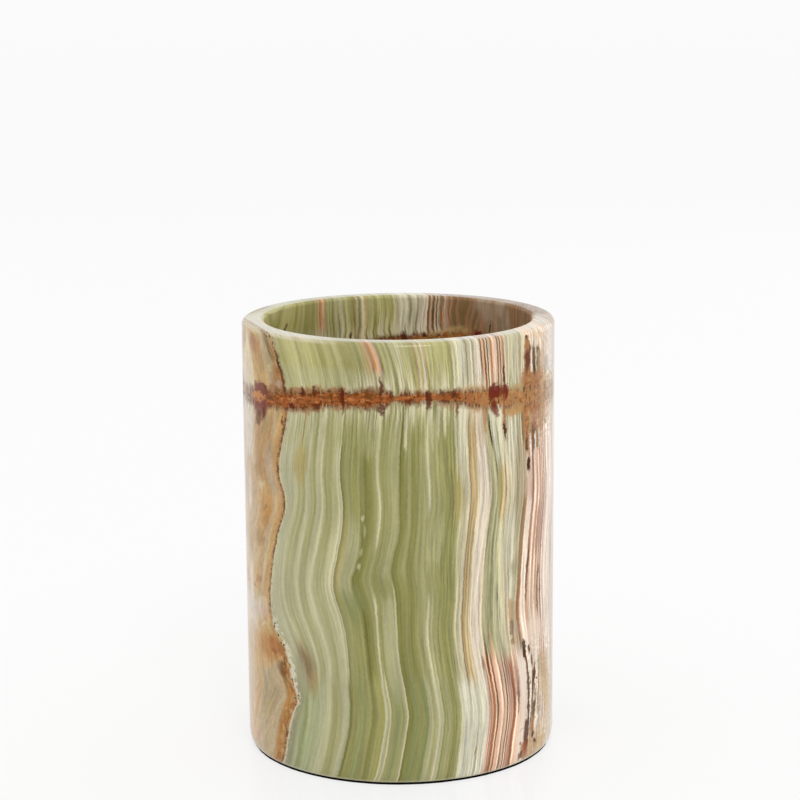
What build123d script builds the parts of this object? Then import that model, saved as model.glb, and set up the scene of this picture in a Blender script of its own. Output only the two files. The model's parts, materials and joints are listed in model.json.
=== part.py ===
"""Round banded-stone pen stand: a bored and turned stone sleeve, a stone floor disc let
into a rebate in its foot and bonded there, and a dark felt pad stuck under the foot.

Frame: +Z up along the cup's axis, origin at the centre of the foot, on the desk.
All sizes are in millimetres.
"""

import os

from build123d import *

# Driving dimensions of the stone cup
cup_diameter = 76.0
cup_height = 106.2
wall_thickness = 5.5

# Rebate in the foot that takes the floor disc
rebate_shoulder = 1.5
rebate_depth = 9.0

# Eased edges of the turned stone
rim_outer_radius = 1.3
rim_inner_radius = 0.9
foot_ease_width = 0.8
foot_ease_height = 3.0
floor_edge_chamfer = 0.4

# Resin bond round and over the floor disc, and the bead squeezed out into the well
bond_gap = 0.25
bond_bead = 0.9

# Felt pad under the foot and the adhesive film that holds it
pad_inset = 0.8
pad_thickness = 0.5
pad_edge_radius = 0.15
film_thickness = 0.1

# Places and sizes that follow from the driving dimensions
cup_radius = cup_diameter / 2
bore_radius = cup_radius - wall_thickness
rebate_radius = bore_radius + rebate_shoulder
floor_radius = rebate_radius - bond_gap
floor_thickness = rebate_depth - bond_gap
pad_radius = cup_radius - pad_inset
film_bottom = pad_thickness
foot_level = film_bottom + film_thickness
sleeve_height = cup_height - foot_level
shoulder_level = foot_level + rebate_depth
floor_top = foot_level + floor_thickness

# Felt pad: a die-cut disc with its lower edge softened, resting on the desk
with BuildPart() as base_pad:
    with BuildSketch(Plane.XY):
        Circle(pad_radius)
    extrude(amount=pad_thickness)
    fillet(base_pad.edges().group_by(Axis.Z)[0], radius=pad_edge_radius)
base_pad.part.label = "base_pad"

# Adhesive film: cut with the pad, between the pad and the ground foot
with BuildPart() as pad_adhesive:
    with BuildSketch(Plane.XY.offset(film_bottom)):
        Circle(pad_radius)
    extrude(amount=film_thickness)
pad_adhesive.part.label = "pad_adhesive"

# Stone sleeve: bored through, turned outside, with the rim's edges rounded, the foot's
# edge eased higher than it is deep, and a rebate cut into the foot
with BuildPart() as onyx_sleeve:
    with BuildSketch(Plane.XY.offset(foot_level)):
        Circle(cup_radius)
        Circle(bore_radius, mode=Mode.SUBTRACT)
    extrude(amount=sleeve_height)
    rim_edges = onyx_sleeve.edges().group_by(Axis.Z)[-1].sort_by(SortBy.RADIUS)
    fillet(rim_edges[-1], radius=rim_outer_radius)
    fillet(rim_edges[0], radius=rim_inner_radius)
    with BuildSketch(Plane.XZ):
        with BuildLine():
            ease_toe = (cup_radius - foot_ease_width, foot_level)
            ease_top = (cup_radius, foot_level + foot_ease_height)
            Polyline(
                ease_toe,
                (ease_toe[0], foot_level - 1),
                (cup_radius + 1, foot_level - 1),
                (cup_radius + 1, ease_top[1]),
                ease_top,
            )
            EllipticalCenterArc(
                (ease_toe[0], ease_top[1]),
                foot_ease_width,
                foot_ease_height,
                start_angle=270,
                arc_size=90,
            )
        make_face()
    revolve(axis=Axis.Z, mode=Mode.SUBTRACT)
    with BuildSketch(Plane.XY.offset(foot_level)):
        Circle(rebate_radius)
    extrude(amount=rebate_depth, mode=Mode.SUBTRACT)
onyx_sleeve.part.label = "onyx_sleeve"

# Floor disc: flush with the foot of the sleeve, a bond gap short of the rebate
with BuildPart() as floor_disc:
    with BuildSketch(Plane.XY.offset(foot_level)):
        Circle(floor_radius)
    extrude(amount=floor_thickness)
    chamfer(floor_disc.edges().group_by(Axis.Z)[0], length=floor_edge_chamfer)
floor_disc.part.label = "floor_disc"

# Resin bond: fills the gap round the disc and under the shoulder, and ends in the
# concave bead in the corner of the well
with BuildPart() as floor_bond:
    with BuildSketch(Plane.XZ):
        with BuildLine():
            bead_toe = (bore_radius - bond_bead, floor_top)
            bead_top = (bore_radius, floor_top + bond_bead)
            Polyline(
                bead_toe,
                (floor_radius, floor_top),
                (floor_radius, foot_level + floor_edge_chamfer),
                (floor_radius - floor_edge_chamfer, foot_level),
                (rebate_radius, foot_level),
                (rebate_radius, shoulder_level),
                (bore_radius, shoulder_level),
                bead_top,
            )
            RadiusArc(bead_top, bead_toe, bond_bead)
        make_face()
    revolve(axis=Axis.Z)
floor_bond.part.label = "floor_bond"

os.makedirs("parts", exist_ok=True)
for piece in (base_pad, pad_adhesive, onyx_sleeve, floor_disc, floor_bond):
    export_step(piece.part, f"parts/{piece.part.label}.step")
    print(piece.part.label, round(piece.part.volume, 1), "mm3")
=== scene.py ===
import json
from math import cos, pi, radians, sin

import bpy
import numpy as np
from mathutils import Matrix, Vector


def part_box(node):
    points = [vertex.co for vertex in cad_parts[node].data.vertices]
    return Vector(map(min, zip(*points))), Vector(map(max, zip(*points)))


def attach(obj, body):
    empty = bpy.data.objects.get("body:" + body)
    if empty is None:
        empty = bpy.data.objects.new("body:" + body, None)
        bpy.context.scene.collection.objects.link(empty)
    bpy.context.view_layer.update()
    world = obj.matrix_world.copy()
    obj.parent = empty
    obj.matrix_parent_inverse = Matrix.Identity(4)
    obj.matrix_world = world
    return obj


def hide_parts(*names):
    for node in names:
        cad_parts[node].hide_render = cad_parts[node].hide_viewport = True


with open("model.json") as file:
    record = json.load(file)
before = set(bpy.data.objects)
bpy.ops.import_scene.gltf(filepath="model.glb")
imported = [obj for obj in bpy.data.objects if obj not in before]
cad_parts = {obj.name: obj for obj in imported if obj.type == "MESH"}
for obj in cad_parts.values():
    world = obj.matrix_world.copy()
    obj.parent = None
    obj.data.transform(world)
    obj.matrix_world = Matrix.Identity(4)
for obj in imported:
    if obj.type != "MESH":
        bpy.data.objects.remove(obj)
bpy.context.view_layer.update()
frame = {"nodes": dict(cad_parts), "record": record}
print("frame loaded:", sorted(frame["nodes"]))

# sizes in millimetres, read off the frame
mm = 0.001
sleeveBox = np.array(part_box("onyx_sleeve")) / mm
bondBox = np.array(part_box("floor_bond")) / mm
padBox = np.array(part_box("base_pad")) / mm
wellMount = next(m for m in frame["record"]["mounts"] if m["name"] == "pen_well")
cup = {
    "radius": sleeveBox[1][0],
    "top": sleeveBox[1][2],
    "foot": sleeveBox[0][2],
    "bore": wellMount["dims"]["r_mm"],
    "wellLength": wellMount["dims"]["length_mm"],
    "wellMiddle": wellMount["pos_m"][2] / mm,
    "rebate": bondBox[1][0],
}
cup["shoulder"] = cup["wellMiddle"] - cup["wellLength"] / 2
cup["innerRound"] = cup["top"] - cup["wellMiddle"] - cup["wellLength"] / 2
print("cup sizes:", {name: round(float(value), 3) for name, value in cup.items()})

veil = 0.012  # light that the polish adds to every colour


def tone(red, green, blue):  # a colour as a picker shows it on the polished stone, less that veil
    values = np.array([red, green, blue]) / 255
    linear = np.where(values <= 0.04045, values / 12.92, ((values + 0.055) / 1.055) ** 2.4)
    return (*np.maximum(linear - veil, 0.003).tolist(), 1.0)


# the stone's colours
tones = {
    "milk": tone(227, 217, 186), "cream": tone(207, 200, 161), "creamGreen": tone(191, 185, 142),
    "sagePale": tone(179, 176, 139), "sage": tone(167, 163, 116), "sageOlive": tone(155, 151, 98),
    "oliveMid": tone(144, 141, 82), "oliveDark": tone(131, 128, 64), "oliveDeep": tone(113, 110, 52),
    "leaf": tone(140, 146, 92), "leafPale": tone(166, 170, 126), "leafDark": tone(128, 134, 80),
    "mossGrey": tone(149, 145, 110), "lime": tone(181, 176, 114), "limePale": tone(191, 186, 128),
    "limeDeep": tone(160, 154, 86), "limeDark": tone(142, 136, 74), "mist": tone(213, 207, 181),
    "mistGrey": tone(193, 186, 156), "sand": tone(201, 191, 155), "wheat": tone(216, 202, 166),
    "honey": tone(190, 161, 104), "gold": tone(170, 150, 88), "taupe": tone(168, 152, 115),
    "umber": tone(148, 122, 80), "umberDeep": tone(126, 104, 69), "shell": tone(223, 208, 186),
    "blush": tone(241, 220, 199), "peach": tone(246, 218, 184), "peachRose": tone(235, 193, 164),
    "rose": tone(207, 166, 145), "rosewood": tone(178, 134, 112), "clay": tone(165, 121, 92),
    "apricot": tone(231, 178, 138), "orange": tone(206, 138, 66), "bark": tone(112, 72, 36),
    "barkDeep": tone(88, 57, 33), "rust": tone(160, 86, 34), "ochre": tone(186, 135, 69),
    "plum": tone(128, 68, 60), "beige": tone(207, 182, 147), "greyBeige": tone(189, 171, 140),
    "tan": tone(201, 166, 115), "chalk": tone(217, 207, 180), "pit": tone(58, 42, 24),
    "snow": tone(240, 228, 214), "hollow": tone(80, 54, 20), "root": tone(104, 68, 30),
    "saddle": tone(168, 112, 58), "copper": tone(158, 92, 46), "fawn": tone(178, 140, 92),
    "wine": tone(90, 44, 14), "ash": tone(188, 170, 150), "pearl": tone(222, 212, 200),
    "blossom": tone(216, 174, 150), "garnet": tone(112, 40, 34), "shadow": tone(68, 64, 34),
    "dew": tone(219, 216, 193), "warmth": tone(250, 238, 212),
}

# growth lines of the stone on the front wall: (height, arc from the front line), drawn up to a top level
drawnTop = 105.5
heightSpan = (0, drawnTop)
layerSpan = (-48, 72)
arcSpan = (-50, 50)
growthLines = {
    -30.0: [(0, -32.4), (5, -31.1), (10, -30.0), (15, -28.2), (18.5, -26.6), (22, -28.0), (28, -29.7),
            (31, -31.5), (35, -34.9), (40, -36.3), (48, -35.4), (57, -33.0), (66, -29.8), (73, -32.0),
            (80, -30.7), (88, -28.6), (94, -29.3), (100, -31.6), (105.5, -34.2)],
    -26.5: [(0, -27.5), (8, -25.5), (16, -24.2), (25, -24.1), (29, -24.7), (36, -28.0), (40, -30.3),
            (45, -31.3), (50, -31.0), (58, -29.2), (66, -26.8), (75, -26.4), (82, -25.6), (90, -24.6),
            (98, -26.0), (105.5, -28.5)],
    -13.5: [(0, -15.3), (5, -13.9), (12, -12.3), (18, -11.8), (25, -12.2), (34, -12.8), (40, -13.9),
            (45, -15.6), (48, -16.1), (55, -15.0), (60, -13.9), (66, -13.4), (75, -14.0), (85, -13.2),
            (92, -12.6), (99, -13.4), (105.5, -15.3)],
    -8.9: [(0, -9.5), (8, -8.1), (17, -6.7), (25, -7.3), (35, -8.2), (42, -9.1), (46, -10.7), (49, -11.5),
           (52.5, -10.6), (57, -9.4), (65, -8.9), (75, -8.7), (85, -8.3), (92, -8.0), (99, -8.6),
           (105.5, -10.2)],
    -4.4: [(0, -6.0), (5, -4.6), (12, -3.4), (17, -2.9), (25, -4.0), (32, -4.8), (42, -5.4), (46, -5.8),
           (50, -6.9), (55, -5.8), (60, -4.9), (67, -4.2), (76, -4.8), (85, -4.2), (93, -3.7), (100, -4.6),
           (105.5, -6.6)],
    0.1: [(0, -0.9), (6, 0.2), (12, 1.2), (16.5, 1.8), (22, 1.2), (30, -0.1), (40, -0.7), (47, -1.1),
          (52, -1.9), (56, -1.2), (61, 0.0), (68, 0.1), (80, 0.3), (90, 1.0), (98, 0.6), (105.5, -1.2)],
    7.0: [(0, 7.0), (5, 8.0), (11, 9.0), (16, 9.3), (22, 8.5), (28, 7.5), (37, 6.4), (45, 6.8), (52, 6.5),
          (60, 6.5), (68, 7.1), (76, 6.8), (85, 6.5), (92, 6.6), (99, 6.2), (105.5, 5.2)],
    17.0: [(0, 15.8), (6, 16.6), (15, 17.4), (22, 16.7), (30, 15.4), (38, 14.7), (46, 15.1), (54, 15.6),
           (63, 16.6), (69, 17.2), (76, 16.8), (85, 16.5), (92, 16.7), (105.5, 15.9)],
    23.0: [(0, 21.8), (7, 23.0), (15.5, 24.1), (22, 23.2), (29, 21.7), (36, 20.6), (43, 20.4), (50, 20.9),
           (57, 21.6), (63, 22.5), (69, 23.2), (77, 22.6), (86, 21.3), (95, 20.9), (105.5, 20.0)],
    28.8: [(0, 29.2), (6, 30.1), (15, 31.6), (22, 30.9), (30, 29.2), (37, 28.3), (45, 28.0), (55, 27.6),
           (62, 28.2), (69, 29.0), (77, 28.5), (86, 27.9), (95, 27.8), (105.5, 27.4)],
    34.6: [(0, 33.0), (8, 34.2), (15, 34.9), (24, 34.4), (31, 32.9), (38, 31.5), (45, 31.9), (54, 32.8),
           (60, 33.6), (66, 34.7), (74, 34.7), (82, 34.0), (90, 33.3), (105.5, 33.0)],
    44.0: [(0, 41.0), (15, 43.5), (25, 43.0), (35, 42.0), (43, 41.4), (53, 41.9), (60, 43.1), (66, 44.1),
           (75, 43.3), (85, 42.7), (95, 42.0), (105.5, 41.0)],
}

# the layers in order across the block, each named by the arc it has at mid height
bodyBands = [
    (-47.5, "pearl"), (-44.0, "beige"), (-41.0, "beige"), (-39.0, "tan"), (-37.2, "tan"), (-35.6, "tan"),
    (-34.0, "greyBeige"), (-32.6, "tan"), (-31.9, "tan"), (-31.0, "tan"), (-30.4, "honey"),
    (-30.05, "taupe"), (-29.85, "cream"), (-29.6, "creamGreen"), (-29.2, "sagePale"), (-28.4, "sagePale"),
    (-27.0, "sagePale"), (-26.3, "creamGreen"), (-25.5, "sage"), (-23.6, "sage"), (-22.9, "sagePale"),
    (-22.3, "creamGreen"), (-21.6, "sage"), (-20.5, "sageOlive"), (-19.8, "sagePale"),
    (-19.1, "creamGreen"), (-18.5, "cream"), (-18.0, "sage"), (-17.1, "sageOlive"), (-16.2, "sage"),
    (-15.4, "creamGreen"), (-14.7, "creamGreen"), (-14.2, "cream"), (-13.85, "sagePale"), (-13.6, "cream"),
    (-13.38, "oliveDeep"), (-12.9, "oliveMid"), (-12.0, "sageOlive"), (-11.0, "oliveMid"),
    (-10.1, "oliveMid"), (-9.4, "sageOlive"), (-9.1, "oliveDark"), (-8.5, "oliveDeep"), (-7.0, "oliveDark"),
    (-6.1, "oliveMid"), (-5.3, "sageOlive"), (-4.85, "creamGreen"), (-4.55, "cream"), (-4.25, "sageOlive"),
    (-3.6, "oliveMid"), (-3.0, "sageOlive"), (-2.2, "sageOlive"), (-1.4, "sage"), (-0.7, "sage"),
    (-0.15, "sageOlive"), (0.1, "oliveDeep"), (0.7, "oliveDark"), (1.5, "oliveMid"), (2.1, "sageOlive"),
    (2.6, "sageOlive"), (3.1, "oliveDark"), (4.1, "oliveMid"), (4.9, "sageOlive"), (5.6, "sageOlive"),
    (6.3, "sage"), (6.7, "creamGreen"), (7.0, "cream"), (7.35, "sage"), (7.9, "sageOlive"),
    (8.6, "sageOlive"), (9.1, "sage"), (9.6, "oliveMid"), (10.4, "sageOlive"), (11.0, "oliveMid"),
    (12.1, "oliveMid"), (13.0, "oliveMid"), (13.8, "sageOlive"), (14.3, "sage"), (14.8, "creamGreen"),
    (15.4, "sand"), (16.0, "sand"), (16.5, "sand"), (16.85, "mistGrey"), (17.1, "umberDeep"),
    (17.35, "tan"), (17.7, "honey"), (18.1, "sand"), (18.4, "honey"), (18.65, "tan"), (18.95, "wheat"),
    (19.25, "wheat"), (19.7, "shell"), (20.4, "shell"), (21.6, "shell"), (22.2, "wheat"), (22.6, "milk"),
    (22.95, "taupe"), (23.25, "sage"), (23.8, "creamGreen"), (24.25, "creamGreen"), (24.6, "oliveMid"),
    (24.8, "sage"), (25.25, "sagePale"), (25.9, "creamGreen"), (26.7, "cream"), (27.4, "sand"),
    (27.85, "wheat"), (28.3, "sand"), (29.0, "sand"), (30.0, "wheat"), (30.7, "sand"), (31.3, "mistGrey"),
    (32.4, "taupe"), (32.9, "taupe"), (33.1, "cream"), (33.3, "sand"), (33.5, "umber"), (33.8, "umberDeep"),
    (34.3, "umber"), (34.7, "clay"), (34.9, "rose"), (35.1, "peach"), (36.0, "blush"), (36.8, "snow"),
    (37.05, "blush"), (37.3, "rosewood"), (37.7, "clay"), (38.1, "rosewood"), (38.3, "peachRose"),
    (38.6, "peach"), (39.0, "snow"), (39.3, "peachRose"), (39.6, "rosewood"), (40.0, "rose"),
    (40.3, "rosewood"), (40.55, "peach"), (40.9, "peach"), (41.15, "rose"), (41.5, "rosewood"),
    (42.0, "clay"), (42.15, "peach"), (42.35, "blush"), (42.5, "rosewood"), (42.9, "clay"), (43.1, "peach"),
    (43.4, "blush"), (43.65, "rosewood"), (43.95, "clay"), (44.2, "rose"), (44.45, "snow"), (44.8, "blush"),
    (45.05, "rosewood"), (45.4, "rose"), (45.7, "blush"), (46.4, "blush"), (48.0, "blush"), (50.0, "shell"),
    (52.0, "rose"), (53.0, "shell"), (56.0, "ash"), (58.0, "beige"), (60.0, "fawn"), (62.0, "umber"),
    (64.0, "beige"), (66.0, "clay"), (68.0, "umber"), (72.5, "umberDeep"),
]
crownBands = [
    (-47.5, "shell"), (-44.0, "wheat"), (-42.0, "tan"), (-39.0, "honey"), (-37.0, "tan"),
    (-35.0, "greyBeige"), (-33.0, "taupe"), (-32.0, "umber"), (-31.3, "honey"), (-30.6, "honey"),
    (-30.0, "umber"), (-29.4, "limeDeep"), (-28.4, "limeDeep"), (-27.0, "lime"), (-26.0, "lime"),
    (-24.6, "limePale"), (-23.9, "limeDark"), (-23.4, "lime"), (-22.0, "lime"), (-20.6, "lime"),
    (-19.5, "limeDeep"), (-18.8, "lime"), (-18.0, "limeDark"), (-17.0, "limeDeep"), (-16.0, "lime"),
    (-14.6, "limeDeep"), (-13.6, "limePale"), (-12.6, "limeDeep"), (-11.0, "limeDeep"), (-9.5, "limeDeep"),
    (-8.6, "limeDark"), (-8.0, "lime"), (-7.3, "gold"), (-6.7, "honey"), (-6.2, "tan"), (-5.7, "clay"),
    (-5.0, "orange"), (-4.4, "apricot"), (-4.0, "peachRose"), (-3.6, "umber"), (-3.2, "limeDeep"),
    (-2.6, "limePale"), (-2.2, "limeDark"), (-1.8, "limePale"), (-1.2, "limeDark"), (-0.7, "creamGreen"),
    (0.0, "lime"), (0.4, "cream"), (1.0, "cream"), (1.6, "lime"), (2.2, "limePale"), (3.1, "lime"),
    (4.0, "limeDeep"), (5.0, "gold"), (5.5, "wheat"), (5.9, "gold"), (6.4, "limePale"), (6.9, "milk"),
    (7.4, "honey"), (8.0, "lime"), (8.6, "limePale"), (9.2, "limeDeep"), (10.0, "limePale"), (10.8, "lime"),
    (11.4, "limeDeep"), (12.0, "limePale"), (12.6, "limeDeep"), (13.2, "limeDark"), (13.6, "cream"),
    (14.1, "sagePale"), (14.6, "sand"), (15.4, "mist"), (16.2, "mist"), (16.6, "mistGrey"),
    (16.9, "umberDeep"), (17.3, "mistGrey"), (18.0, "mistGrey"), (18.6, "mist"), (19.2, "taupe"),
    (19.6, "shell"), (20.6, "shell"), (21.6, "shell"), (22.0, "shell"), (22.1, "umber"), (22.25, "bark"),
    (22.55, "bark"), (22.75, "rosewood"), (22.95, "peachRose"), (23.2, "apricot"), (23.36, "bark"),
    (23.56, "bark"), (23.7, "apricot"), (23.85, "peach"), (23.98, "bark"), (24.14, "bark"),
    (24.26, "blush"), (24.5, "blush"), (24.75, "orange"), (25.0, "copper"), (25.2, "apricot"),
    (25.5, "blush"), (25.8, "peachRose"), (26.2, "blossom"), (26.34, "bark"), (26.52, "bark"),
    (26.64, "peach"), (26.84, "apricot"), (26.94, "bark"), (27.1, "bark"), (27.2, "peachRose"),
    (27.5, "apricot"), (27.66, "clay"), (27.84, "clay"), (27.95, "apricot"), (28.2, "peach"),
    (28.6, "mistGrey"), (29.4, "sand"), (30.4, "sand"), (31.2, "mistGrey"), (32.0, "mistGrey"),
    (32.6, "sand"), (33.2, "taupe"), (33.8, "taupe"), (34.2, "milk"), (35.0, "milk"), (37.0, "blush"),
    (39.0, "shell"), (42.0, "shell"), (44.5, "blush"), (47.0, "pearl"), (50.0, "pearl"), (56.0, "ash"),
    (60.0, "rose"), (72.5, "clay"),
]
footBands = [
    (-47.5, "beige"), (-45.5, "tan"), (-44.5, "beige"), (-43.0, "greyBeige"), (-39.0, "greyBeige"),
    (-35.0, "greyBeige"), (-34.2, "greyBeige"), (-33.2, "ochre"), (-32.3, "ochre"), (-31.3, "ochre"),
    (-30.6, "ochre"), (-30.15, "beige"), (-29.75, "wheat"), (-29.4, "mossGrey"), (-28.6, "mossGrey"),
    (-27.4, "leafPale"), (-26.3, "leaf"), (-25.4, "leafPale"), (-24.4, "leafPale"), (-22.5, "leafPale"),
    (-21.2, "sagePale"), (-20.5, "sagePale"), (-19.3, "creamGreen"), (-18.7, "sage"), (-17.5, "sageOlive"),
    (-16.3, "sage"), (-15.2, "sagePale"), (-14.4, "sagePale"), (-14.05, "sage"), (-13.75, "oliveDeep"),
    (-13.0, "oliveMid"), (-12.0, "oliveMid"), (-11.0, "leaf"), (-10.0, "oliveMid"), (-9.2, "sageOlive"),
    (-8.9, "oliveDark"), (-8.0, "oliveDark"), (-7.2, "sageOlive"), (-6.2, "limeDeep"), (-5.5, "limeDeep"),
    (-5.1, "cream"), (-4.75, "sagePale"), (-4.3, "sage"), (-3.95, "cream"), (-3.6, "sageOlive"),
    (-3.0, "sageOlive"), (-2.0, "leaf"), (-1.0, "sageOlive"), (-0.35, "sage"), (0.0, "cream"),
    (0.2, "oliveDeep"), (0.8, "oliveDark"), (1.8, "leafDark"), (3.0, "oliveMid"), (4.4, "leafDark"),
    (4.9, "sage"), (5.4, "sagePale"), (5.8, "sageOlive"), (6.35, "sage"), (6.8, "cream"),
    (7.2, "creamGreen"), (7.6, "sagePale"), (8.0, "creamGreen"), (8.3, "leaf"), (9.2, "sageOlive"),
    (10.2, "sage"), (11.0, "oliveMid"), (12.2, "oliveMid"), (13.0, "sageOlive"), (13.6, "sagePale"),
    (14.2, "cream"), (15.0, "dew"), (16.2, "dew"), (16.8, "mist"), (17.1, "mistGrey"), (17.4, "dew"),
    (18.2, "dew"), (18.7, "mist"), (18.9, "mistGrey"), (19.2, "dew"), (19.6, "mist"), (20.4, "dew"),
    (21.2, "shell"), (21.45, "rose"), (21.75, "peachRose"), (22.0, "clay"), (22.2, "rosewood"),
    (22.35, "peachRose"), (22.55, "clay"), (22.7, "copper"), (22.95, "copper"), (23.1, "clay"),
    (23.25, "peach"), (23.4, "peach"), (23.55, "copper"), (23.75, "copper"), (23.9, "blossom"),
    (24.3, "peachRose"), (24.5, "blossom"), (24.75, "peach"), (24.95, "peach"), (25.1, "clay"),
    (25.3, "rosewood"), (25.45, "peachRose"), (25.85, "shell"), (25.98, "copper"), (26.14, "copper"),
    (26.25, "peach"), (26.4, "peach"), (26.52, "clay"), (26.7, "rosewood"), (26.9, "blossom"),
    (27.2, "clay"), (27.4, "rose"), (27.6, "clay"), (27.75, "copper"), (28.0, "copper"), (28.2, "clay"),
    (28.35, "rosewood"), (28.5, "peach"), (28.7, "peach"), (28.85, "peachRose"), (29.4, "blossom"),
    (30.2, "peachRose"), (30.8, "blush"), (31.5, "blush"), (33.0, "blush"), (34.6, "blush"),
    (35.2, "blush"), (36.2, "shell"), (36.8, "blush"), (38.0, "beige"), (39.4, "peach"), (40.2, "blush"),
    (42.0, "shell"), (43.5, "beige"), (45.5, "tan"), (47.0, "beige"), (49.5, "shell"), (52.0, "beige"),
    (56.0, "beige"), (60.0, "tan"), (64.0, "fawn"), (68.0, "umber"), (72.5, "umberDeep"),
]
# level at which the foot's colours give way to the body's, for each layer
footLine = [(-48, 24), (-31, 26), (-28, 22), (-22, 24), (20.5, 23), (21.4, 21), (22.6, 31), (28.2, 28),
            (28.6, 30), (31.0, 29), (33.5, 27), (72, 28)]
# how much lighter or darker the crown is than its layers, for each layer
crownDim = [(-48, 0), (-17, 0), (-13, -0.13), (6.6, -0.13), (8, 0), (13.5, 0), (14, 0.1), (17, 0.1),
            (18, 0), (22.5, 0), (23.2, -0.16), (28, -0.16), (28.6, 0.03), (72, 0)]
# how strongly the brown crust is mottled, for each height
crustLine = [(0, 0.9), (12, 0.85), (20, 0.8), (26, 0.6), (32, 0.25), (38, 0.55), (50, 0.55), (60, 0.65),
             (66, 0.85), (88, 0.95), (94, 0.6), (105.5, 0.45)]
# height of the rusty seam, for each layer
seamLine = [(-48, 89.2), (-40, 89.6), (-32, 90.3), (-24, 91.4), (-18, 92.2), (-8, 92.6), (0, 93.0),
            (8, 93.0), (14, 92.6), (18, 91.9), (24, 91.5), (28, 90.9), (34, 90.6), (40, 90.0), (48, 89.4),
            (72, 88.0)]


# shader helpers: each adds one or two nodes to a tree and hands back an output
def feed(tree, socket, value):
    if isinstance(value, bpy.types.NodeSocket):
        tree.links.new(value, socket)
    else:
        socket.default_value = value


def calc(tree, operation, *values, clamp=False):
    node = tree.nodes.new("ShaderNodeMath")
    node.operation = operation
    node.use_clamp = clamp
    for socket, value in zip(node.inputs, values):
        feed(tree, socket, value)
    return node.outputs[0]


def times(tree, one, other):
    return calc(tree, "MULTIPLY", one, other)


def plus(tree, one, other):
    return calc(tree, "ADD", one, other)


def vecCalc(tree, operation, *values):
    node = tree.nodes.new("ShaderNodeVectorMath")
    node.operation = operation
    for socket, value in zip(node.inputs, values):
        feed(tree, socket, value)
    return node.outputs[0]


def scaleVec(tree, vector, factor):
    node = tree.nodes.new("ShaderNodeVectorMath")
    node.operation = "SCALE"
    feed(tree, node.inputs[0], vector)
    feed(tree, node.inputs["Scale"], factor)
    return node.outputs[0]


def joinVec(tree, x, y, z):
    node = tree.nodes.new("ShaderNodeCombineXYZ")
    for socket, value in zip(node.inputs, (x, y, z)):
        feed(tree, socket, value)
    return node.outputs[0]


def pick(tree, vector, x, y, z):  # the vector's share along a direction
    node = tree.nodes.new("ShaderNodeVectorMath")
    node.operation = "DOT_PRODUCT"
    feed(tree, node.inputs[0], vector)
    node.inputs[1].default_value = (x, y, z)
    return node.outputs["Value"]


def ease(tree, value, start, end, low=0.0, high=1.0):  # smooth step of value from start to end
    node = tree.nodes.new("ShaderNodeMapRange")
    node.interpolation_type = "SMOOTHSTEP"
    node.clamp = False
    names = ("Value", "From Min", "From Max", "To Min", "To Max")
    for name, part in zip(names, (value, start, end, low, high)):
        feed(tree, node.inputs[name], part)
    return node.outputs["Result"]


# cloudy noise with features about size mm wide
def noise(tree, place, size, detail=2.0, roughness=0.5, colour=False):
    node = tree.nodes.new("ShaderNodeTexNoise")
    feed(tree, node.inputs["Vector"], place)
    node.inputs["Scale"].default_value = 1 / size
    node.inputs["Detail"].default_value = detail
    node.inputs["Roughness"].default_value = roughness
    return node.outputs[1 if colour else 0]


def centred(tree, value, reach):  # noise about a half, turned into plus or minus reach
    return calc(tree, "MULTIPLY_ADD", value, 2 * reach, -reach)


def paint(tree, factor, under, over, blend="MIX"):
    node = tree.nodes.new("ShaderNodeMix")
    node.data_type = "RGBA"
    node.blend_type = blend
    feed(tree, node.inputs[0], factor)
    feed(tree, node.inputs[6], under)
    feed(tree, node.inputs[7], over)
    return node.outputs[2]


def shade(tree, colour, factor):  # the colour, lighter or darker
    node = tree.nodes.new("ShaderNodeHueSaturation")
    feed(tree, node.inputs["Value"], factor)
    feed(tree, node.inputs["Color"], colour)
    return node.outputs[0]


def newGroup(name, inputs, outputs):
    tree = bpy.data.node_groups.new(name, "ShaderNodeTree")
    for label, kind in inputs:
        tree.interface.new_socket(label, in_out="INPUT", socket_type=kind)
    for label, kind in outputs:
        tree.interface.new_socket(label, in_out="OUTPUT", socket_type=kind)
    return tree, tree.nodes.new("NodeGroupInput").outputs, tree.nodes.new("NodeGroupOutput").inputs


def useGroup(tree, group, **values):
    node = tree.nodes.new("ShaderNodeGroup")
    node.node_tree = group
    for name, value in values.items():
        feed(tree, node.inputs[name], value)
    return node.outputs


def bandRamp(tree, layer, bands, most=31):  # colour of a layer, from a list longer than one ramp holds
    colour = None
    for first in range(0, len(bands) - 1, most - 1):
        part = bands[first:first + most]
        low, high = part[0][0], part[-1][0]
        along = calc(tree, "DIVIDE", calc(tree, "SUBTRACT", layer, low), high - low)
        ramp = tree.nodes.new("ShaderNodeValToRGB")
        feed(tree, ramp.inputs[0], along)
        stops = ramp.color_ramp.elements
        for index, (place, name) in enumerate(part):
            share = (place - low) / (high - low)
            stop = stops[index] if index < 2 else stops.new(share)
            stop.position = share
            stop.color = tones[name]
        if colour is None:
            colour = ramp.outputs[0]
        else:
            colour = paint(tree, calc(tree, "GREATER_THAN", layer, low), colour, ramp.outputs[0])
    return colour


# a drawn line: value runs over span, the line over reach
def drawnCurve(tree, value, points, span, reach):
    share = calc(tree, "DIVIDE", calc(tree, "SUBTRACT", value, span[0]), span[1] - span[0], clamp=True)
    node = tree.nodes.new("ShaderNodeFloatCurve")
    feed(tree, node.inputs["Value"], share)
    curve = node.mapping.curves[0]
    spots = [((x - span[0]) / (span[1] - span[0]), (y - reach[0]) / (reach[1] - reach[0])) for x, y in points]
    curve.points[0].location = spots[0]
    curve.points[-1].location = spots[-1]
    for spot in spots[1:-1]:
        curve.points.new(*spot)
    node.mapping.update()
    return calc(tree, "MULTIPLY_ADD", node.outputs[0], reach[1] - reach[0], reach[0])


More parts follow.
